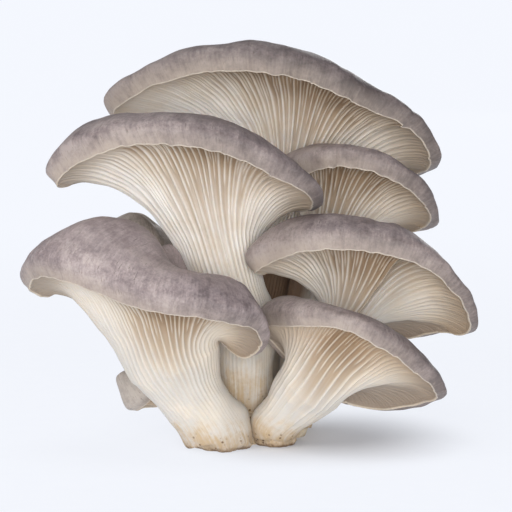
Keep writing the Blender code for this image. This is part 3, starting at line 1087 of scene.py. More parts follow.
@dataclass(frozen=True)
class Mushroom:
    """One mushroom of the cluster, built as one closed skin from foot to dimple.

    Attributes:
        name: the CAD node that it stands for.
        stem: rings from the foot to the neck, each (x, y, z, radius).
        rim: points round the cap's edge, anticlockwise from above and starting at the left
            end, each (x, y, z, crown, shoulder): how far the skin rolls up over the edge
            and how high the cap's top stands half way in.
        cap_up: direction that the cap's top faces.
        dimple: lowest point of the cap's top, over the neck.
        gill_count: how many gills reach the edge, a multiple of four.
        seed: picks everything that is left to chance.
        roll: how far the skin bulges out past the edge.
        curl: angle in degrees by which the underside turns in under the edge.
        flare: share of the way to the edge over which the underside keeps the stem's direction.
        fold: place along the rim of a fold between two fans of gills, or None.
        fold_depth: how far the flesh steps back behind the fold.
        weathered: how many times higher than on the others the foot's stains reach.
        ends: how much painted shade darkens the underside at its left and right ends.
        shade: which copy of the cap skin it wears: the usual one, a darker or paler copy as painted shade
            or painted light, or the young caps' skin.
        gills: how its gills stand.
    """

    name: str
    stem: tuple[tuple[float, float, float, float], ...]
    rim: tuple[tuple[float, float, float, float, float], ...]
    cap_up: Point
    dimple: Point
    gill_count: int
    seed: int
    roll: float = 3.0
    curl: float = 50.0
    flare: float = 0.38
    fold: float | None = None
    fold_depth: float = 0.0
    weathered: float = 1.0
    ends: tuple[float, float] = (0.3, 0.4)
    shade: CapLighting = CapLighting.USUAL
    gills: Gills = field(default_factory=Gills)

    # Shares that shape the underside and the cap's section
    ARRIVE_AT_EDGE = 0.30
    BULGE_HEIGHT = 0.45
    CREST_PLACE = 0.12
    SHOULDER_PLACE = 0.5
    FOLLOW = 0.6
    FOLD_DROP = 0.006
    # FOLD_SHADE is the width of the painted shade along the fold, as a share of the rim
    FOLD_SHADE = 0.045
    FOLD_RECOVERY = 0.16
    FOLD_LEAD = 0.22
    FOLD_LIFT = 0.7
    FOLD_ON_CAP = 0.35
    # Strength of the painted shade in the fold and in the crevices between the stems
    FOLD_DARK = 1.35
    CREVICE_SHADE = 2.0
    FULL_GIRTH = 160.0
    FULL_WIDTH = 60.0
    FACING_POWER = 2.2
    STAND_HEIGHT = 6.0
    RIM_SAMPLES = 96
    STEM_SAMPLES = 48
    FOOT_PROFILE = ((0.0, 0.82), (0.4, 0.90), (1.4, 0.975), (3.0, 1.02))
    COARSE_STEP = 5
    COARSE_RINGS = 5

    @property
    def columns(self) -> int:
        """Return how many points go round the fine rings."""
        return self.gill_count * self.gills.samples

    def edge_line(self) -> Array:
        """Return the rim's points with their crown and shoulder heights."""
        shares = np.arange(self.columns) / self.columns
        return respaced(spline(self.rim, self.RIM_SAMPLES, closed=True), shares, closed=True)

    def ring_axes(self, tangent: Array) -> tuple[Array, Array]:
        """Return the two axes across a stem: toward the gilled side, and to its right.

        Args:
            tangent: the stem's direction there.

        Returns:
            The two axes.
        """
        front = np.array((0.0, -1.0, 0.0))
        front = unit(front - np.dot(front, tangent) * tangent)
        return front, np.cross(tangent, front)

    def neck_angles(self, rim: Array) -> Array:
        """Return the angle on the neck's ring at which each meridian to the rim starts.

        Args:
            rim: points of the edge.

        Returns:
            An angle for each point, 0 toward the gilled side.
        """
        neck = np.array(self.stem[-1][:3])
        front, right = self.ring_axes(unit(neck - np.array(self.stem[-2][:3])))
        spokes = rim - neck
        turned = np.unwrap(np.arctan2(spokes @ right, spokes @ front))
        even = turned[0] + 2 * math.pi * np.arange(len(rim)) / len(rim)
        return self.FOLLOW * turned + (1 - self.FOLLOW) * (even + np.mean(turned - even))

    def stem_grid(self, angles: Array, shares: Array) -> tuple[Array, Array]:
        """Return the stem's rings at shares of its length, and its direction at the neck.

        Args:
            angles: angle of each meridian round the stem.
            shares: how far up each ring lies.

        Returns:
            The rings and the direction.
        """
        path = respaced(spline(self.stem, self.STEM_SAMPLES, closed=False), shares, closed=False)
        tangents = unit(np.gradient(path[:, :3], axis=0))
        upright = np.zeros((len(path), 1))
        if self.stem[0][2] == 0:
            upright = ease(1 - path[:, 2:3] / self.STAND_HEIGHT)
        tangents = unit(tangents * (1 - upright) + np.array((0.0, 0.0, 1.0)) * upright)
        rings = []
        for (x, y, z, radius), tangent in zip(path, tangents):
            front, right = self.ring_axes(tangent)
            spokes = np.cos(angles)[:, None] * front + np.sin(angles)[:, None] * right
            rings.append(np.array((x, y, z)) + radius * spokes)
        return np.array(rings), tangents[-1]

    def fold_step(self) -> Array:
        """Return how far each meridian steps back for the fold between two fans of gills.

        Returns:
            A step in millimetres for each meridian.
        """
        if self.fold is None:
            return np.zeros((self.columns, 1))
        past = (np.arange(self.columns) / self.columns - self.fold) % 1.0
        drop = ease(past / self.FOLD_DROP) * (1 - ease((past - self.FOLD_DROP) / self.FOLD_RECOVERY))
        lead = 1 - ease((1 - past) / self.FOLD_LEAD)
        return (self.fold_depth * (drop - self.FOLD_LIFT * lead))[:, None]

    def underside_grid(self, rim: Array, neck: Array, tangent: Array, out: Array) -> Array:
        """Return the underside's smooth rings.

        Args:
            rim: points of the edge.
            neck: points of the neck's ring that their meridians start at.
            tangent: the stem's direction at the neck.
            out: how far out each ring is, from 0 at the neck to 1 at the edge.

        Returns:
            The rings.
        """
        up = unit(self.cap_up)
        spokes = rim - neck
        reach = np.linalg.norm(spokes, axis=1, keepdims=True)
        outward = spokes / reach
        into_flesh = unit(up - (outward @ up)[:, None] * outward)
        curl = math.radians(self.curl)
        arrival = unit(math.cos(curl) * outward - math.sin(curl) * up)
        leave = neck + self.flare * reach * tangent
        arrive = rim - self.ARRIVE_AT_EDGE * reach * arrival
        t = out[:, None, None]
        back = self.fold_step()[None] * np.sin(math.pi * t)
        return bezier(neck[None], leave[None], arrive[None], rim[None], t) + into_flesh[None] * back

    def cap_grid(self, rim: Array, smooth: Array, edge: Array, inward_shares: Array) -> Array:
        """Return the cap's rings from just inside the rim to the dimple.

        Args:
            rim: points of the edge with its small waves.
            smooth: the same points without them.
            edge: rows of the edge line, for the crown and shoulder heights.
            inward_shares: how far in each ring is, from 0 at the rim to 1 at the dimple.

        Returns:
            The rings.
        """
        up = unit(self.cap_up)
        crown, shoulder = edge[:, 3:4], edge[:, 4:5]
        dimple = np.array(self.dimple, dtype=float)
        inward = dimple - smooth
        across = unit((inward @ up)[:, None] * up - inward)
        half = 0.5 * (rim + smooth)
        lifted = shoulder + self.FOLD_ON_CAP * self.fold_step()
        section = (
            rim,
            half + across * self.roll + up * crown * self.BULGE_HEIGHT,
            smooth + self.CREST_PLACE * inward + up * crown,
            smooth + self.SHOULDER_PLACE * inward + up * lifted,
            np.repeat(dimple[None], len(rim), axis=0),
        )
        return np.array([through(section, share) for share in inward_shares])

    def wavy(self, rim: Array) -> Array:
        """Return the edge with small waves and nicks, out and in and up and down.

        Args:
            rim: points of the smooth edge.

        Returns:
            The moved points.
        """
        girth = np.linalg.norm(np.diff(rim, axis=0, append=rim[:1]), axis=1).sum()
        small = min(1.0, girth / self.FULL_GIRTH)
        outward = unit(rim - rim.mean(axis=0))
        up = unit(self.cap_up)
        count = self.columns
        wave = Ripple(13.0, self.seed).round(count, girth) * 0.22
        frill = Ripple(5.0, self.seed + 1).round(count, girth) * 0.16
        nick = np.maximum(Ripple(3.2, self.seed + 2).round(count, girth) - 0.9, 0.0) * 0.7
        drift = Ripple(11.0, self.seed + 3).round(count, girth) * 0.22
        sideways = (wave + frill - nick)[:, None] * outward
        return rim + small * (sideways + (drift + frill)[:, None] * up)

    def drifted(self, grid: Array, out: Array) -> Array:
        """Return rings whose points wander a little sideways, so that the gills aren't ruled lines.

        Args:
            grid: the smooth rings.
            out: how far out each ring is, 0 at the neck and 1 at the edge.

        Returns:
            The rings.
        """
        count = self.columns
        place = np.arange(count)
        drift = np.stack([Ripple(0.9, self.seed + 4).round(count, 9.0, turn) for turn in out * 1.4])
        shift = place[None, :] + 1.5 * drift.reshape(len(out), count) * np.sin(math.pi * out)[:, None]
        whole = np.floor(shift).astype(int)
        share = (shift - whole)[..., None]
        rows = np.arange(len(out))[:, None]
        return grid[rows, whole % count] * (1 - share) + grid[rows, (whole + 1) % count] * share

    def outward_normals(self, grid: Array) -> Array:
        """Return the outward direction at each point of rings that run from the foot to the rim.

        Args:
            grid: the rings.

        Returns:
            A direction for each point.
        """
        round_it = np.roll(grid, -1, axis=1) - np.roll(grid, 1, axis=1)
        up_it = np.gradient(grid, axis=0)
        return unit(np.cross(round_it, up_it))

    def painted_shade_at(self, grid: Array, angles: Array, out: Array) -> Array:
        """Return how much painted shade darkens the flesh, and how much darker still where it is over 1.

        Args:
            grid: rings of points from the foot to the edge.
            angles: angle of each meridian round the neck, 0 toward the gilled side.
            out: for each ring, how far out it is, 0 at the neck and 1 at the edge.

        Returns:
            A number for each point: painted shade behind the stem, at the underside's ends and in the fold
                between two fans of gills, and darker painted shade in the crevices between the stems.
        """
        # Painted shade behind the stem and at the underside's ends
        behind = ease((0.25 - np.cos(angles)) / 0.60)
        painted_shade = behind[None, :] * ease(out / 0.35)[:, None]
        across = grid[..., 0]
        side = (2 * across - across.max() - across.min()) / np.ptp(across)
        left, right = ease((-0.5 - side) / 0.5), ease((side - 0.5) / 0.5)
        end = (self.ends[0] * left + self.ends[1] * right) * ease((out - 0.2) / 0.5)[:, None]
        painted_shade = np.maximum(painted_shade, end)
        # Painted shade in the fold between two fans of gills
        if self.fold is not None:
            past = (np.arange(self.columns) / self.columns - self.fold) % 1.0
            hollow_shade = ease(past / self.FOLD_DROP) * (1 - ease((past - self.FOLD_DROP) / self.FOLD_SHADE))
            reach = np.sin(math.pi * out)[:, None] ** 0.7
            painted_shade = np.maximum(painted_shade, self.FOLD_DARK * hollow_shade[None, :] * reach)
        # Darker painted shade in the crevices between the stems
        for crevice in SHADED_CREVICES:
            painted_shade = np.maximum(painted_shade, self.CREVICE_SHADE * crevice.at(grid))
        return painted_shade

    def flesh_rings(self, rim: Array) -> tuple[Array, Array, Array, Array]:
        """Build the stem and underside as one grid, with its gills cut in.

        Args:
            rim: points of the edge, with its waves.

        Returns:
            The rings, the depth between gills from 0 to 1, the painted shade, and each point's distance
            from the foot along its meridian.
        """
        angles = self.neck_angles(self.edge_line()[:, :3])
        stem, tangent = self.stem_grid(angles, STEM_SHARES)
        under = self.underside_grid(rim, stem[-1], tangent, OUT_SHARES)
        grid = np.concatenate((stem, self.drifted(under, OUT_SHARES)))
        steps = np.linalg.norm(np.diff(grid, axis=0), axis=2)
        run = np.concatenate((np.zeros((1, self.columns)), np.cumsum(steps, axis=0)))
        out = np.concatenate((np.zeros(len(STEM_SHARES)), OUT_SHARES))
        to_edge = run[-1:] - run
        cut, valley = self.gill_cut(grid, out, to_edge, angles)
        lumps = Ripple(15.0, self.seed + 6).at(grid) * 0.40 + Ripple(7.0, self.seed + 7).at(grid) * 0.12
        calm = ease(to_edge / 9.0) * np.where(out > 0, 0.8, 1.0)[:, None]
        grid = grid + self.outward_normals(grid) * (lumps * calm - cut)[..., None]
        self.trim_foot(grid)
        return grid, valley, self.painted_shade_at(grid, angles, out), run

    def gill_cut(self, grid: Array, out: Array, to_edge: Array, angles: Array) -> tuple[Array, Array]:
        """Return how deep the flesh is cut away between the gills.

        Args:
            grid: smooth rings of points from the foot to the edge.
            out: for each ring, how far out it is, 0 at the neck and 1 at the edge.
            to_edge: distance of each point from the edge along its meridian.
            angles: angle of each meridian round the neck, 0 toward the gilled side.

        Returns:
            The cut in millimetres, and the depth from 0 to 1 that the finishes paint as shade between the
            gills, mostly on the side that faces front.
        """
        gills = self.gills
        pitch = np.linalg.norm(np.roll(grid, -1, axis=1) - grid, axis=2) * gills.samples
        between = 1 - gills.heights(self.gill_count, out, pitch, self.seed + 5)
        deep = np.interp(out, (0.0, 0.7, 1.0), (gills.neck_depth, gills.depth, gills.depth))
        on_stem = (0.0, 0.4 * gills.neck_depth, gills.neck_depth)
        deep[: len(STEM_SHARES)] = np.interp(STEM_SHARES, (gills.stem_start, 0.5, 1.0), on_stem)
        lip = ease((to_edge - gills.lip) / 1.3)
        facing = np.clip(np.cos(angles), 0.0, 1.0) ** self.FACING_POWER
        cut = between * deep[:, None] * lip * (0.36 + 0.84 * facing)
        # The depth that the finishes paint as shade is kept mostly to the meridians that face front
        valley = between * np.minimum(deep / 0.9, 1.0)[:, None] * lip * (0.12 + 0.88 * facing)
        return cut, valley

    def trim_foot(self, grid: Array) -> None:
        """Cut the foot flat and ragged where it stands on the floor, and tuck its edge in.

        Args:
            grid: rings from the foot up, which are changed.
        """
        if self.stem[0][2] > 0:
            return
        centre = np.array((*self.stem[0][:2], 0.0))
        ragged = Ripple(6.0, self.seed + 8).at(grid[:5]) * 0.55
        ragged = ragged + Ripple(2.4, self.seed + 12).at(grid[:5]) * 0.25
        for row, (height, spread) in enumerate(self.FOOT_PROFILE):
            spokes = grid[row] - centre
            spokes[:, 2] = 0.0
            grid[row] = centre + spokes * spread + unit(spokes) * ragged[row][:, None]
            grid[row, :, 2] = height + (0.18 * ragged[row] if row > 1 else 0.0)

    def grain_at(self, run: Array, girth: float) -> Array:
        """Return where the finishes read their streaks: round the cap, and along its meridians.

        Args:
            run: distance of each point along its meridian.
            girth: the edge's length.

        Returns:
            A place for each point.
        """
        count = run.shape[1]
        angle = 2 * math.pi * np.arange(count) / count
        radius = girth / (2 * math.pi)
        grain = np.empty((*run.shape, 3))
        grain[..., 0] = radius * np.cos(angle) + 37.0 * self.seed
        grain[..., 1] = radius * np.sin(angle) + 11.0 * self.seed
        grain[..., 2] = run
        return grain

    def cap_rings(self, rim: Array, edge: Array) -> Array:
        """Build the cap's top, with shallow undulations.

        Args:
            rim: points of the edge, with its waves.
            edge: rows of the smooth edge line.

        Returns:
            The rings.
        """
        grid = self.cap_grid(rim, edge[:, :3], edge, CAP_SHARES)
        dimple = np.array(self.dimple, dtype=float)
        closing = [dimple + near * (grid[-1] - dimple) for near in (0.55, 0.2)]
        grid = np.concatenate((grid, np.array(closing)))
        normals = self.outward_normals(grid)
        size = min(1.0, np.ptp(edge[:, 0]) / self.FULL_WIDTH)
        waves = Ripple(19.0, self.seed + 9).at(grid) * 0.45 + Ripple(7.0, self.seed + 10).at(grid) * 0.12
        reach = np.concatenate((CAP_SHARES, (0.99, 1.0)))
        calm = ease(reach / 0.12) * (1 - ease((reach - 0.9) / 0.1))
        return grid + normals * (waves * size * calm[:, None])[..., None]

    def build(self, finishes: Finishes) -> bpy.types.Object:
        """Build the mushroom, dress it, and put it in its CAD node's place.

        Args:
            finishes: the cluster's materials.

        Returns:
            The finished piece.
        """
        edge = self.edge_line()
        rim = self.wavy(edge[:, :3])
        girth = float(np.linalg.norm(np.diff(rim, axis=0, append=rim[:1]), axis=1).sum())
        flesh, valley, painted_shade, run = self.flesh_rings(rim)
        grain = self.grain_at(run, girth)
        body = Patch(flesh, grain, run - run[-1:], valley, painted_shade, Skin.FLESH)
        loft = Loft()
        loft.add(slice_rings(body, 0, self.COARSE_RINGS).thinned(self.COARSE_STEP))
        loft.add(slice_rings(body, self.COARSE_RINGS, len(flesh)))
        cap = self.cap_rings(rim, edge)
        steps = np.linalg.norm(np.diff(np.concatenate((rim[None], cap)), axis=0), axis=2)
        in_run = np.cumsum(steps, axis=0)
        none = np.zeros(in_run.shape)
        top = Patch(cap, self.grain_at(in_run + run[-1:], girth), in_run, none, none, Skin.CAP)
        loft.add(slice_rings(top, 0, 3))
        loft.add(slice_rings(top, 3, len(cap)).thinned(self.COARSE_STEP))
        materials = (finishes.caps[self.shade], finishes.flesh)
        piece = loft.made(self.name + "_skin", materials, Skin.CAP, self.weathered)
        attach(piece, BODY)
        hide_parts(self.name)
        LOG.info("%s: %d gills, %d faces", self.name, self.gill_count, len(piece.data.polygons))
        return piece


def slice_rings(patch: Patch, start: int, stop: int) -> Patch:
    """Return the rings of a patch from start up to stop."""
    parts = (patch.points, patch.grain, patch.edge, patch.valley, patch.painted_shade)
    return Patch(*(part[start:stop] for part in parts), patch.skin)


MUSHROOMS = (
    Mushroom(
        name="mushroom_top_back",
        stem=((0, 27.5, 5, 8.5), (0.5, 30, 26, 9.3), (3.5, 36, 50, 9.6), (9, 41, 71, 10)),
        rim=(
            (-48, 24, 109, 8, 6), (-44, 18, 115.5, 12, 10), (-32, 12, 122, 15, 13),
            (-19, 9, 125, 17, 16), (-5, 8, 126, 17, 17), (15, 9, 123.4, 17, 17),
            (36, 12, 114, 16, 16), (50, 16, 107.5, 11, 12), (57.5, 20, 101.5, 8.5, 9),
            (60.8, 26, 92, 6.5, 6), (54, 42, 86, 7, 6), (32, 54, 79, 6, 5), (11, 58, 77, 6, 5),
            (-14, 54, 83, 6, 5), (-36, 40, 96, 7, 6),
        ),
        cap_up=(0.05, 0.72, 0.69), dimple=(7, 44, 98), gill_count=204, seed=11, roll=4.0,
        shade=CapLighting.DARK, ends=(0.0, 0.7),
    ),
    Mushroom(
        name="mushroom_upper_left",
        stem=(
            (-3.5, 10, 5, 7.4), (-3.3, 6.5, 12, 9.0), (-3.2, 4.5, 22, 9.7), (-4, 4.5, 38, 10.8),
            (-9.5, 3.5, 56, 12.4),
        ),
        rim=(
            (-65, -18, 89.5, 13, 10), (-62, -24, 95, 18.5, 14), (-53, -29, 101, 17, 15),
            (-39, -31, 104.8, 14.5, 15), (-26, -31, 104.6, 14.5, 15), (-8, -30, 101, 14.5, 15),
            (8, -27, 93, 13, 12), (17.6, -20, 87, 8, 8), (19, -8, 81, 5, 5), (13, 6, 78, 5, 4),
            (0, 14, 77, 4, 4), (-17, 16, 80, 4, 5), (-36, 18, 86, 6, 6), (-54, 0, 90, 7, 6),
        ),
        cap_up=(0.02, 0.62, 0.78), dimple=(-10, 4, 90), gill_count=176, seed=23, roll=4.0, flare=0.58,
        weathered=2.6, ends=(0.7, 0.5),
    ),
    Mushroom(
        name="mushroom_upper_right",
        stem=((14, 20, 5, 6), (16, 24, 24, 6.8), (19.5, 27, 44, 8.8), (24, 27, 60, 8.6)),
        rim=(
            (8, 19, 87, 11, 9), (15, 11.5, 90, 15, 12), (23, 7, 92.5, 13, 12), (32, 3, 94, 11, 11),
            (44, 2, 90.5, 11.5, 12), (54.5, 5, 84, 10.5, 10), (60.3, 14, 75, 6, 6),
            (57, 27, 69, 5, 4), (44, 36, 67, 5, 4), (32, 37, 69, 5, 4), (18, 29, 78, 4, 4),
        ),
        cap_up=(0.15, 0.66, 0.74), dimple=(33, 24, 80), gill_count=120, seed=37,
    ),
    Mushroom(
        name="mushroom_mid_right",
        stem=((13, 7, 5, 6.3), (17, 8, 18, 7), (23, 7, 29, 7), (28, 6, 37, 8)),
        rim=(
            (-0.3, -14, 60, 14, 9), (5.2, -18, 64, 17, 12), (15, -22, 68, 15, 13),
            (29, -24, 69, 14.5, 14), (42, -24, 68, 13.5, 14), (56, -23, 63, 12, 12),
            (65.5, -20, 55, 8, 8), (71, -15, 47, 6, 6), (72, -6, 38, 5, 5), (63, 6, 36.5, 5, 4),
            (53, 12, 33.5, 5, 4), (42, 16, 37, 5, 4), (29, 15, 47, 5, 4), (16, 9, 54, 5, 5),
            (6, -1, 58, 5, 5),
        ),
        cap_up=(0.1, 0.6, 0.79), dimple=(33, 4, 60), gill_count=156, seed=41,
        fold=0.275, fold_depth=6.5,
    ),
    Mushroom(
        name="mushroom_lower_left",
        stem=(
            (-10.6, -11, 0, 9.6), (-13.2, -11, 6, 11.6), (-17.5, -12, 13, 11), (-22.3, -13, 20, 12.3),
            (-27, -14, 30, 16.3),
        ),
        rim=(
            (-75, -20, 55, 14, 14), (-72, -30, 61, 15.5, 18), (-63, -38, 61, 19, 20.5),
            (-52, -43, 58, 17.5, 20), (-36, -46, 52.5, 14.5, 13), (-19, -46, 50, 13.5, 10),
            (-7, -43, 47.5, 13, 10), (-0.5, -38, 45, 12, 8), (2.3, -31, 38.5, 7.5, 5),
            (-4, -22, 32.5, 5, 3), (-17.6, -12.5, 41.5, 8, 6.5), (-30, -8, 50.5, 17.2, 11),
            (-40, -5, 55, 11.5, 12), (-54, -3, 57, 15.5, 18), (-68, -9, 51.5, 17, 18),
        ),
        cap_up=(0.1, 0.25, 0.96), dimple=(-24, -15, 55), gill_count=184, seed=53,
        shade=CapLighting.PALE, ends=(1.0, 0.9),
    ),
    Mushroom(
        name="mushroom_lower_right",
        stem=((6.8, -5.5, 0, 7.4), (6.6, -6.5, 6.5, 8.3), (11.5, -12, 13.5, 8.8), (18.5, -16.5, 22.5, 12)),
        rim=(
            (3, -18, 42, 13.5, 10), (14, -30, 45, 11.5, 10), (29, -35, 44, 9.5, 10),
            (42, -37, 38, 9.5, 10), (53, -33, 29.5, 10, 8), (60.8, -24, 20.8, 6, 5),
            (58, -14, 16, 4, 3), (48, -7, 12.5, 4, 3), (37, -5, 12, 4, 3), (25, -5, 17, 4, 3),
            (13, -7, 28, 4, 3), (4.5, -11, 37, 6, 5),
        ),
        cap_up=(0.25, 0.6, 0.76), dimple=(28, -13, 32), gill_count=132, seed=67, ends=(0.3, 0.8),
    ),
    Mushroom(
        name="mushroom_small_behind",
        stem=((-16, 19, 5, 4), (-21.5, 19, 22, 3.8), (-31, 19, 42, 3.8), (-37, 19, 54, 4.5)),
        rim=(
            (-53, 18, 66.5, 5, 5), (-46.5, 11, 67, 6, 7), (-38, 8, 66, 5.5, 6.5),
            (-30.5, 12, 62.5, 5, 5), (-27.5, 20, 61.5, 5, 4.5), (-37.5, 29, 67, 4, 5),
            (-47, 27, 68, 4, 5),
        ),
        cap_up=(0.05, 0.1, 0.99), dimple=(-40.5, 20, 73), gill_count=56, seed=71, roll=1.5,
        shade=CapLighting.YOUNG,
        gills=Gills(depth=0.8, neck_depth=0.25),
    ),
    Mushroom(
        name="mushroom_small_low",
        stem=((-19, 8, 4, 3.4), (-22, 8, 7, 3.4), (-25, 7, 9.5, 3.6), (-28, 6, 12, 4)),
        rim=(
            (-38.3, 10, 9.3, 7, 8), (-40.5, 2, 10, 8, 9), (-36, -1.8, 14, 8, 9),
            (-32.2, -0.6, 19, 6.5, 6.5), (-28, 6, 22, 4, 4), (-28, 14, 18, 3, 3),
            (-31.5, 16, 9.5, 4.5, 5),
        ),
        cap_up=(-0.75, -0.1, 0.65), dimple=(-41, 6, 22), gill_count=44, seed=83, roll=1.8,
        shade=CapLighting.YOUNG,
        gills=Gills(depth=0.7, neck_depth=0.2),
    ),
)


@dataclass(frozen=True)
class TrimmedButt:
    """The low lumpy mass that the stems grow from, cut flat below.

    Attributes:
        name: the CAD node that it stands for.
        centre: its middle, (x, y).
        radii: its half width and half depth.
        height: how high its top stands.
        lumps: how many lumps go round it.
        lump_depth: how far the lumps stand out, as a share.
        profile: its side, as pairs of spread and height, both shares.
        columns: points round it.
        seed: picks its cracks and lumps.
    """

    name: str = "trimmed_butt"
    centre: tuple[float, float] = (-2.0, 14.0)
    radii: tuple[float, float] = (20.0, 21.0)
    height: float = 11.0
    lumps: int = 5
    lump_depth: float = 0.08
    profile: tuple[tuple[float, float], ...] = (
        (0.93, 0.0), (1.0, 0.25), (0.98, 0.6), (0.86, 0.9), (0.62, 1.0),
    )
    columns: int = 360
    seed: int = 97

    def rings(self) -> tuple[Array, Array]:
        """Return the butt's rings, and how deep in a crack each point lies.

        Returns:
            The rings, and a depth from 0 to 1 for each point.
        """
        side = respaced(spline(self.profile, 24, closed=False), np.linspace(0, 1, 26), closed=False)
        side = np.vstack((side, ((0.45, 1.0), (0.28, 1.0), (0.12, 1.0))))
        angles = np.linspace(0.0, 2 * math.pi, self.columns, endpoint=False)
        lumps = 1.0 + self.lump_depth * np.cos(self.lumps * angles)
        spread = side[:, :1] * lumps[None, :]
        grid = np.empty((len(side), self.columns, 3))
        grid[..., 0] = self.centre[0] + self.radii[0] * spread * np.sin(angles)
        grid[..., 1] = self.centre[1] - self.radii[1] * spread * np.cos(angles)
        grid[..., 2] = self.height * side[:, 1:]
        round_it = np.roll(grid, -1, axis=1) - np.roll(grid, 1, axis=1)
        outward = unit(np.cross(round_it, np.gradient(grid, axis=0)))
        cracks = np.abs(Ripple(9.0, self.seed).at(grid * (1.0, 1.0, 0.45)))
        crack = 1 - ease(cracks / 0.35)
        rough = Ripple(6.0, self.seed + 1).at(grid) * 0.35 + Ripple(2.2, self.seed + 2).at(grid) * 0.12
        held = ease(grid[..., 2] / 1.5)
        grid = grid + outward * ((rough - 0.9 * crack - 0.35) * held)[..., None]
        return grid, crack * held

    def build(self, finishes: Finishes) -> bpy.types.Object:
        """Build the butt, dress it, and put it in its CAD node's place.

        Args:
            finishes: the cluster's materials.

        Returns:
            The finished piece.
        """
        grid, crack = self.rings()
        loft = Loft()
        loft.add(Patch(grid, grid, np.full(crack.shape, 50.0), crack, np.zeros(crack.shape), Skin.CAP))
        piece = loft.made(self.name + "_lumps", (finishes.butt,), Skin.CAP)
        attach(piece, BODY)
        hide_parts(self.name)
        LOG.info("%s: %d faces", self.name, len(piece.data.polygons))
        return piece


@dataclass(frozen=True)
class Cluster:
    """The whole cluster: every mushroom and the butt."""

    mushrooms: tuple[Mushroom, ...] = MUSHROOMS
    butt: TrimmedButt = TrimmedButt()

    def finishes(self) -> Finishes:
        """Make the cluster's materials.

        Returns:
            The materials.
        """
        usual = CapSkin()
        skins = {
            # Darker and paler copies of the usual skin, as painted shade and painted light; the paler one
            # also has less darkening at the crown and the right end
            CapLighting.DARK: usual.times(0.70),
            CapLighting.USUAL: usual,
            CapLighting.PALE: replace(usual.times(1.32), crown=usual.middle, side_shade=0.08),
            # The young caps' own beige skin, made paler still as painted light where they stand behind
            # bigger caps
            CapLighting.YOUNG: CapSkin(
                dark=(0.185, 0.158, 0.142),
                middle=(0.330, 0.288, 0.258),
                light=(0.450, 0.400, 0.355),
                hair=(0.120, 0.095, 0.080),
                crown=(0.240, 0.205, 0.185),
                margin_width=3.0,
            ),
        }
        return Finishes(
            caps={shade: skin.make("cap_skin_" + shade.value) for shade, skin in skins.items()},
            flesh=GillFlesh().make("gill_flesh_cream"),
            butt=ButtFlesh().make("butt_flesh_tan"),
        )

    def build(self) -> None:
        """Build every piece."""
        finishes = self.finishes()
        for mushroom in self.mushrooms:
            mushroom.build(finishes)
        self.butt.build(finishes)


@dataclass(frozen=True)
class Softbox:
    """A square studio light that is aimed at the cluster.

    Attributes:
        name: what it is for.
        place: where it stands, in metres.
        size: length of its side, in metres.
        watts: its power.
        colour: its colour.
    """

    name: str
    place: Point
    size: float
    watts: float
    colour: Colour = (1.0, 1.0, 1.0)


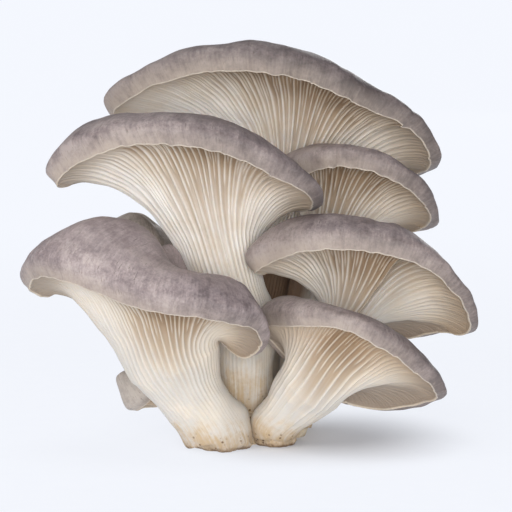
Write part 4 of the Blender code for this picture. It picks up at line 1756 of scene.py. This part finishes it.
@dataclass(frozen=True)
class Studio:
    """Pale sweep, soft lights and the camera.

    Attributes:
        middle: the point that lights and camera look at, in metres.
        distance: how far off the camera stands, in metres.
        elevation: how far the camera looks down, in degrees.
        pixel: width of one pixel at the middle, in metres.
        boxes: the lights.
        sky: colour of the light from all round.
        sky_strength: its strength.
        around: how many points go round the sweep.
        floor_radius: where the floor starts to bend up, in metres.
        bend: the bend's radius, in metres.
        wall_height: how high the backdrop ends, in metres.
    """

    middle: Point = (0.00034, 0.0, 0.0639)
    distance: float = 0.9
    elevation: float = 8.0
    pixel: float = 0.00034
    boxes: tuple[Softbox, ...] = (
        Softbox("key_light", (-0.70, -0.80, 0.60), 0.5, 3.0, (1.0, 0.970, 0.94)),
        Softbox("front_light", (0.05, -1.35, 0.22), 0.7, 13.4, (1.0, 0.975, 0.94)),
        Softbox("top_light", (-0.10, -0.08, 1.0), 0.45, 2.8, (1.0, 0.985, 0.97)),
        Softbox("back_light", (0.40, 1.20, 0.35), 0.6, 3.5, (1.0, 0.985, 0.97)),
    )
    sky: Colour = (1.0, 0.98, 0.95)
    sky_strength: float = 0.4
    around: int = 96
    floor_radius: float = 2.6
    bend: float = 0.9
    wall_height: float = 4.0

    def sweep(self) -> bpy.types.Object:
        """Build the floor and backdrop as one curved sheet round the cluster.

        Returns:
            The sheet.
        """
        rings = []
        angles = np.linspace(0.0, 2 * math.pi, self.around, endpoint=False)
        turns = [(math.sin(angle), 1 - math.cos(angle)) for angle in np.linspace(0, math.pi / 2, 12)]
        bend = [(self.floor_radius + self.bend * across, self.bend * up) for across, up in turns]
        wall = (self.floor_radius + self.bend, self.wall_height)
        for radius, height in [(0.02, 0.0), (0.5, 0.0), (1.5, 0.0), *bend, wall]:
            level = np.full(self.around, height)
            rings.append(np.stack((radius * np.cos(angles), radius * np.sin(angles), level), axis=1))
        points = np.vstack(rings)
        faces = [tuple(face[::-1]) for face in ring_quads(0, len(rings), self.around)]
        faces.append(tuple(range(self.around)))
        mesh = bpy.data.meshes.new("pale_sweep")
        mesh.from_pydata(points.tolist(), [], faces)
        mesh.materials.append(StagePaper().make("pale_paper"))
        mesh.shade_smooth()
        made = bpy.data.objects.new("pale_sweep", mesh)
        bpy.context.scene.collection.objects.link(made)
        return made

    def aim(self, thing: bpy.types.Object) -> None:
        """Turn a light or camera to look at the middle."""
        thing.rotation_euler = (Vector(self.middle) - thing.location).to_track_quat("-Z", "Y").to_euler()

    def lights(self) -> None:
        """Set up the softboxes and the light from all round."""
        for box in self.boxes:
            data = bpy.data.lights.new(box.name, "AREA")
            data.shape = "SQUARE"
            data.size = box.size
            data.energy = box.watts
            data.color = box.colour
            made = bpy.data.objects.new(box.name, data)
            made.location = box.place
            bpy.context.scene.collection.objects.link(made)
            self.aim(made)
        world = bpy.data.worlds.new("studio_air")
        world.use_nodes = True
        air = world.node_tree.nodes["Background"]
        air.inputs["Color"].default_value = (*self.sky, 1.0)
        air.inputs["Strength"].default_value = self.sky_strength
        bpy.context.scene.world = world

    def camera(self) -> None:
        """Set up the camera at the photograph's viewing angle."""
        data = bpy.data.cameras.new("camera")
        data.sensor_width = SENSOR_MM
        data.lens = SENSOR_MM * self.distance / (PHOTO_PIXELS * self.pixel)
        made = bpy.data.objects.new("camera", data)
        tilt = math.radians(self.elevation)
        away = Vector((0.0, -math.cos(tilt), math.sin(tilt))) * self.distance
        made.location = Vector(self.middle) + away
        bpy.context.scene.collection.objects.link(made)
        self.aim(made)
        bpy.context.scene.camera = made

    def build(self) -> None:
        """Build the studio."""
        self.sweep()
        self.lights()
        self.camera()
        bpy.context.scene.view_settings.view_transform = "Standard"
        LOG.info("studio: %d lights", len(self.boxes))


def main() -> None:
    """Load the solids, dress them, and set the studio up."""
    logging.basicConfig(level=logging.INFO, format="%(message)s")
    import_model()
    Studio().build()
    Cluster().build()


if __name__ == "__main__":
    main()
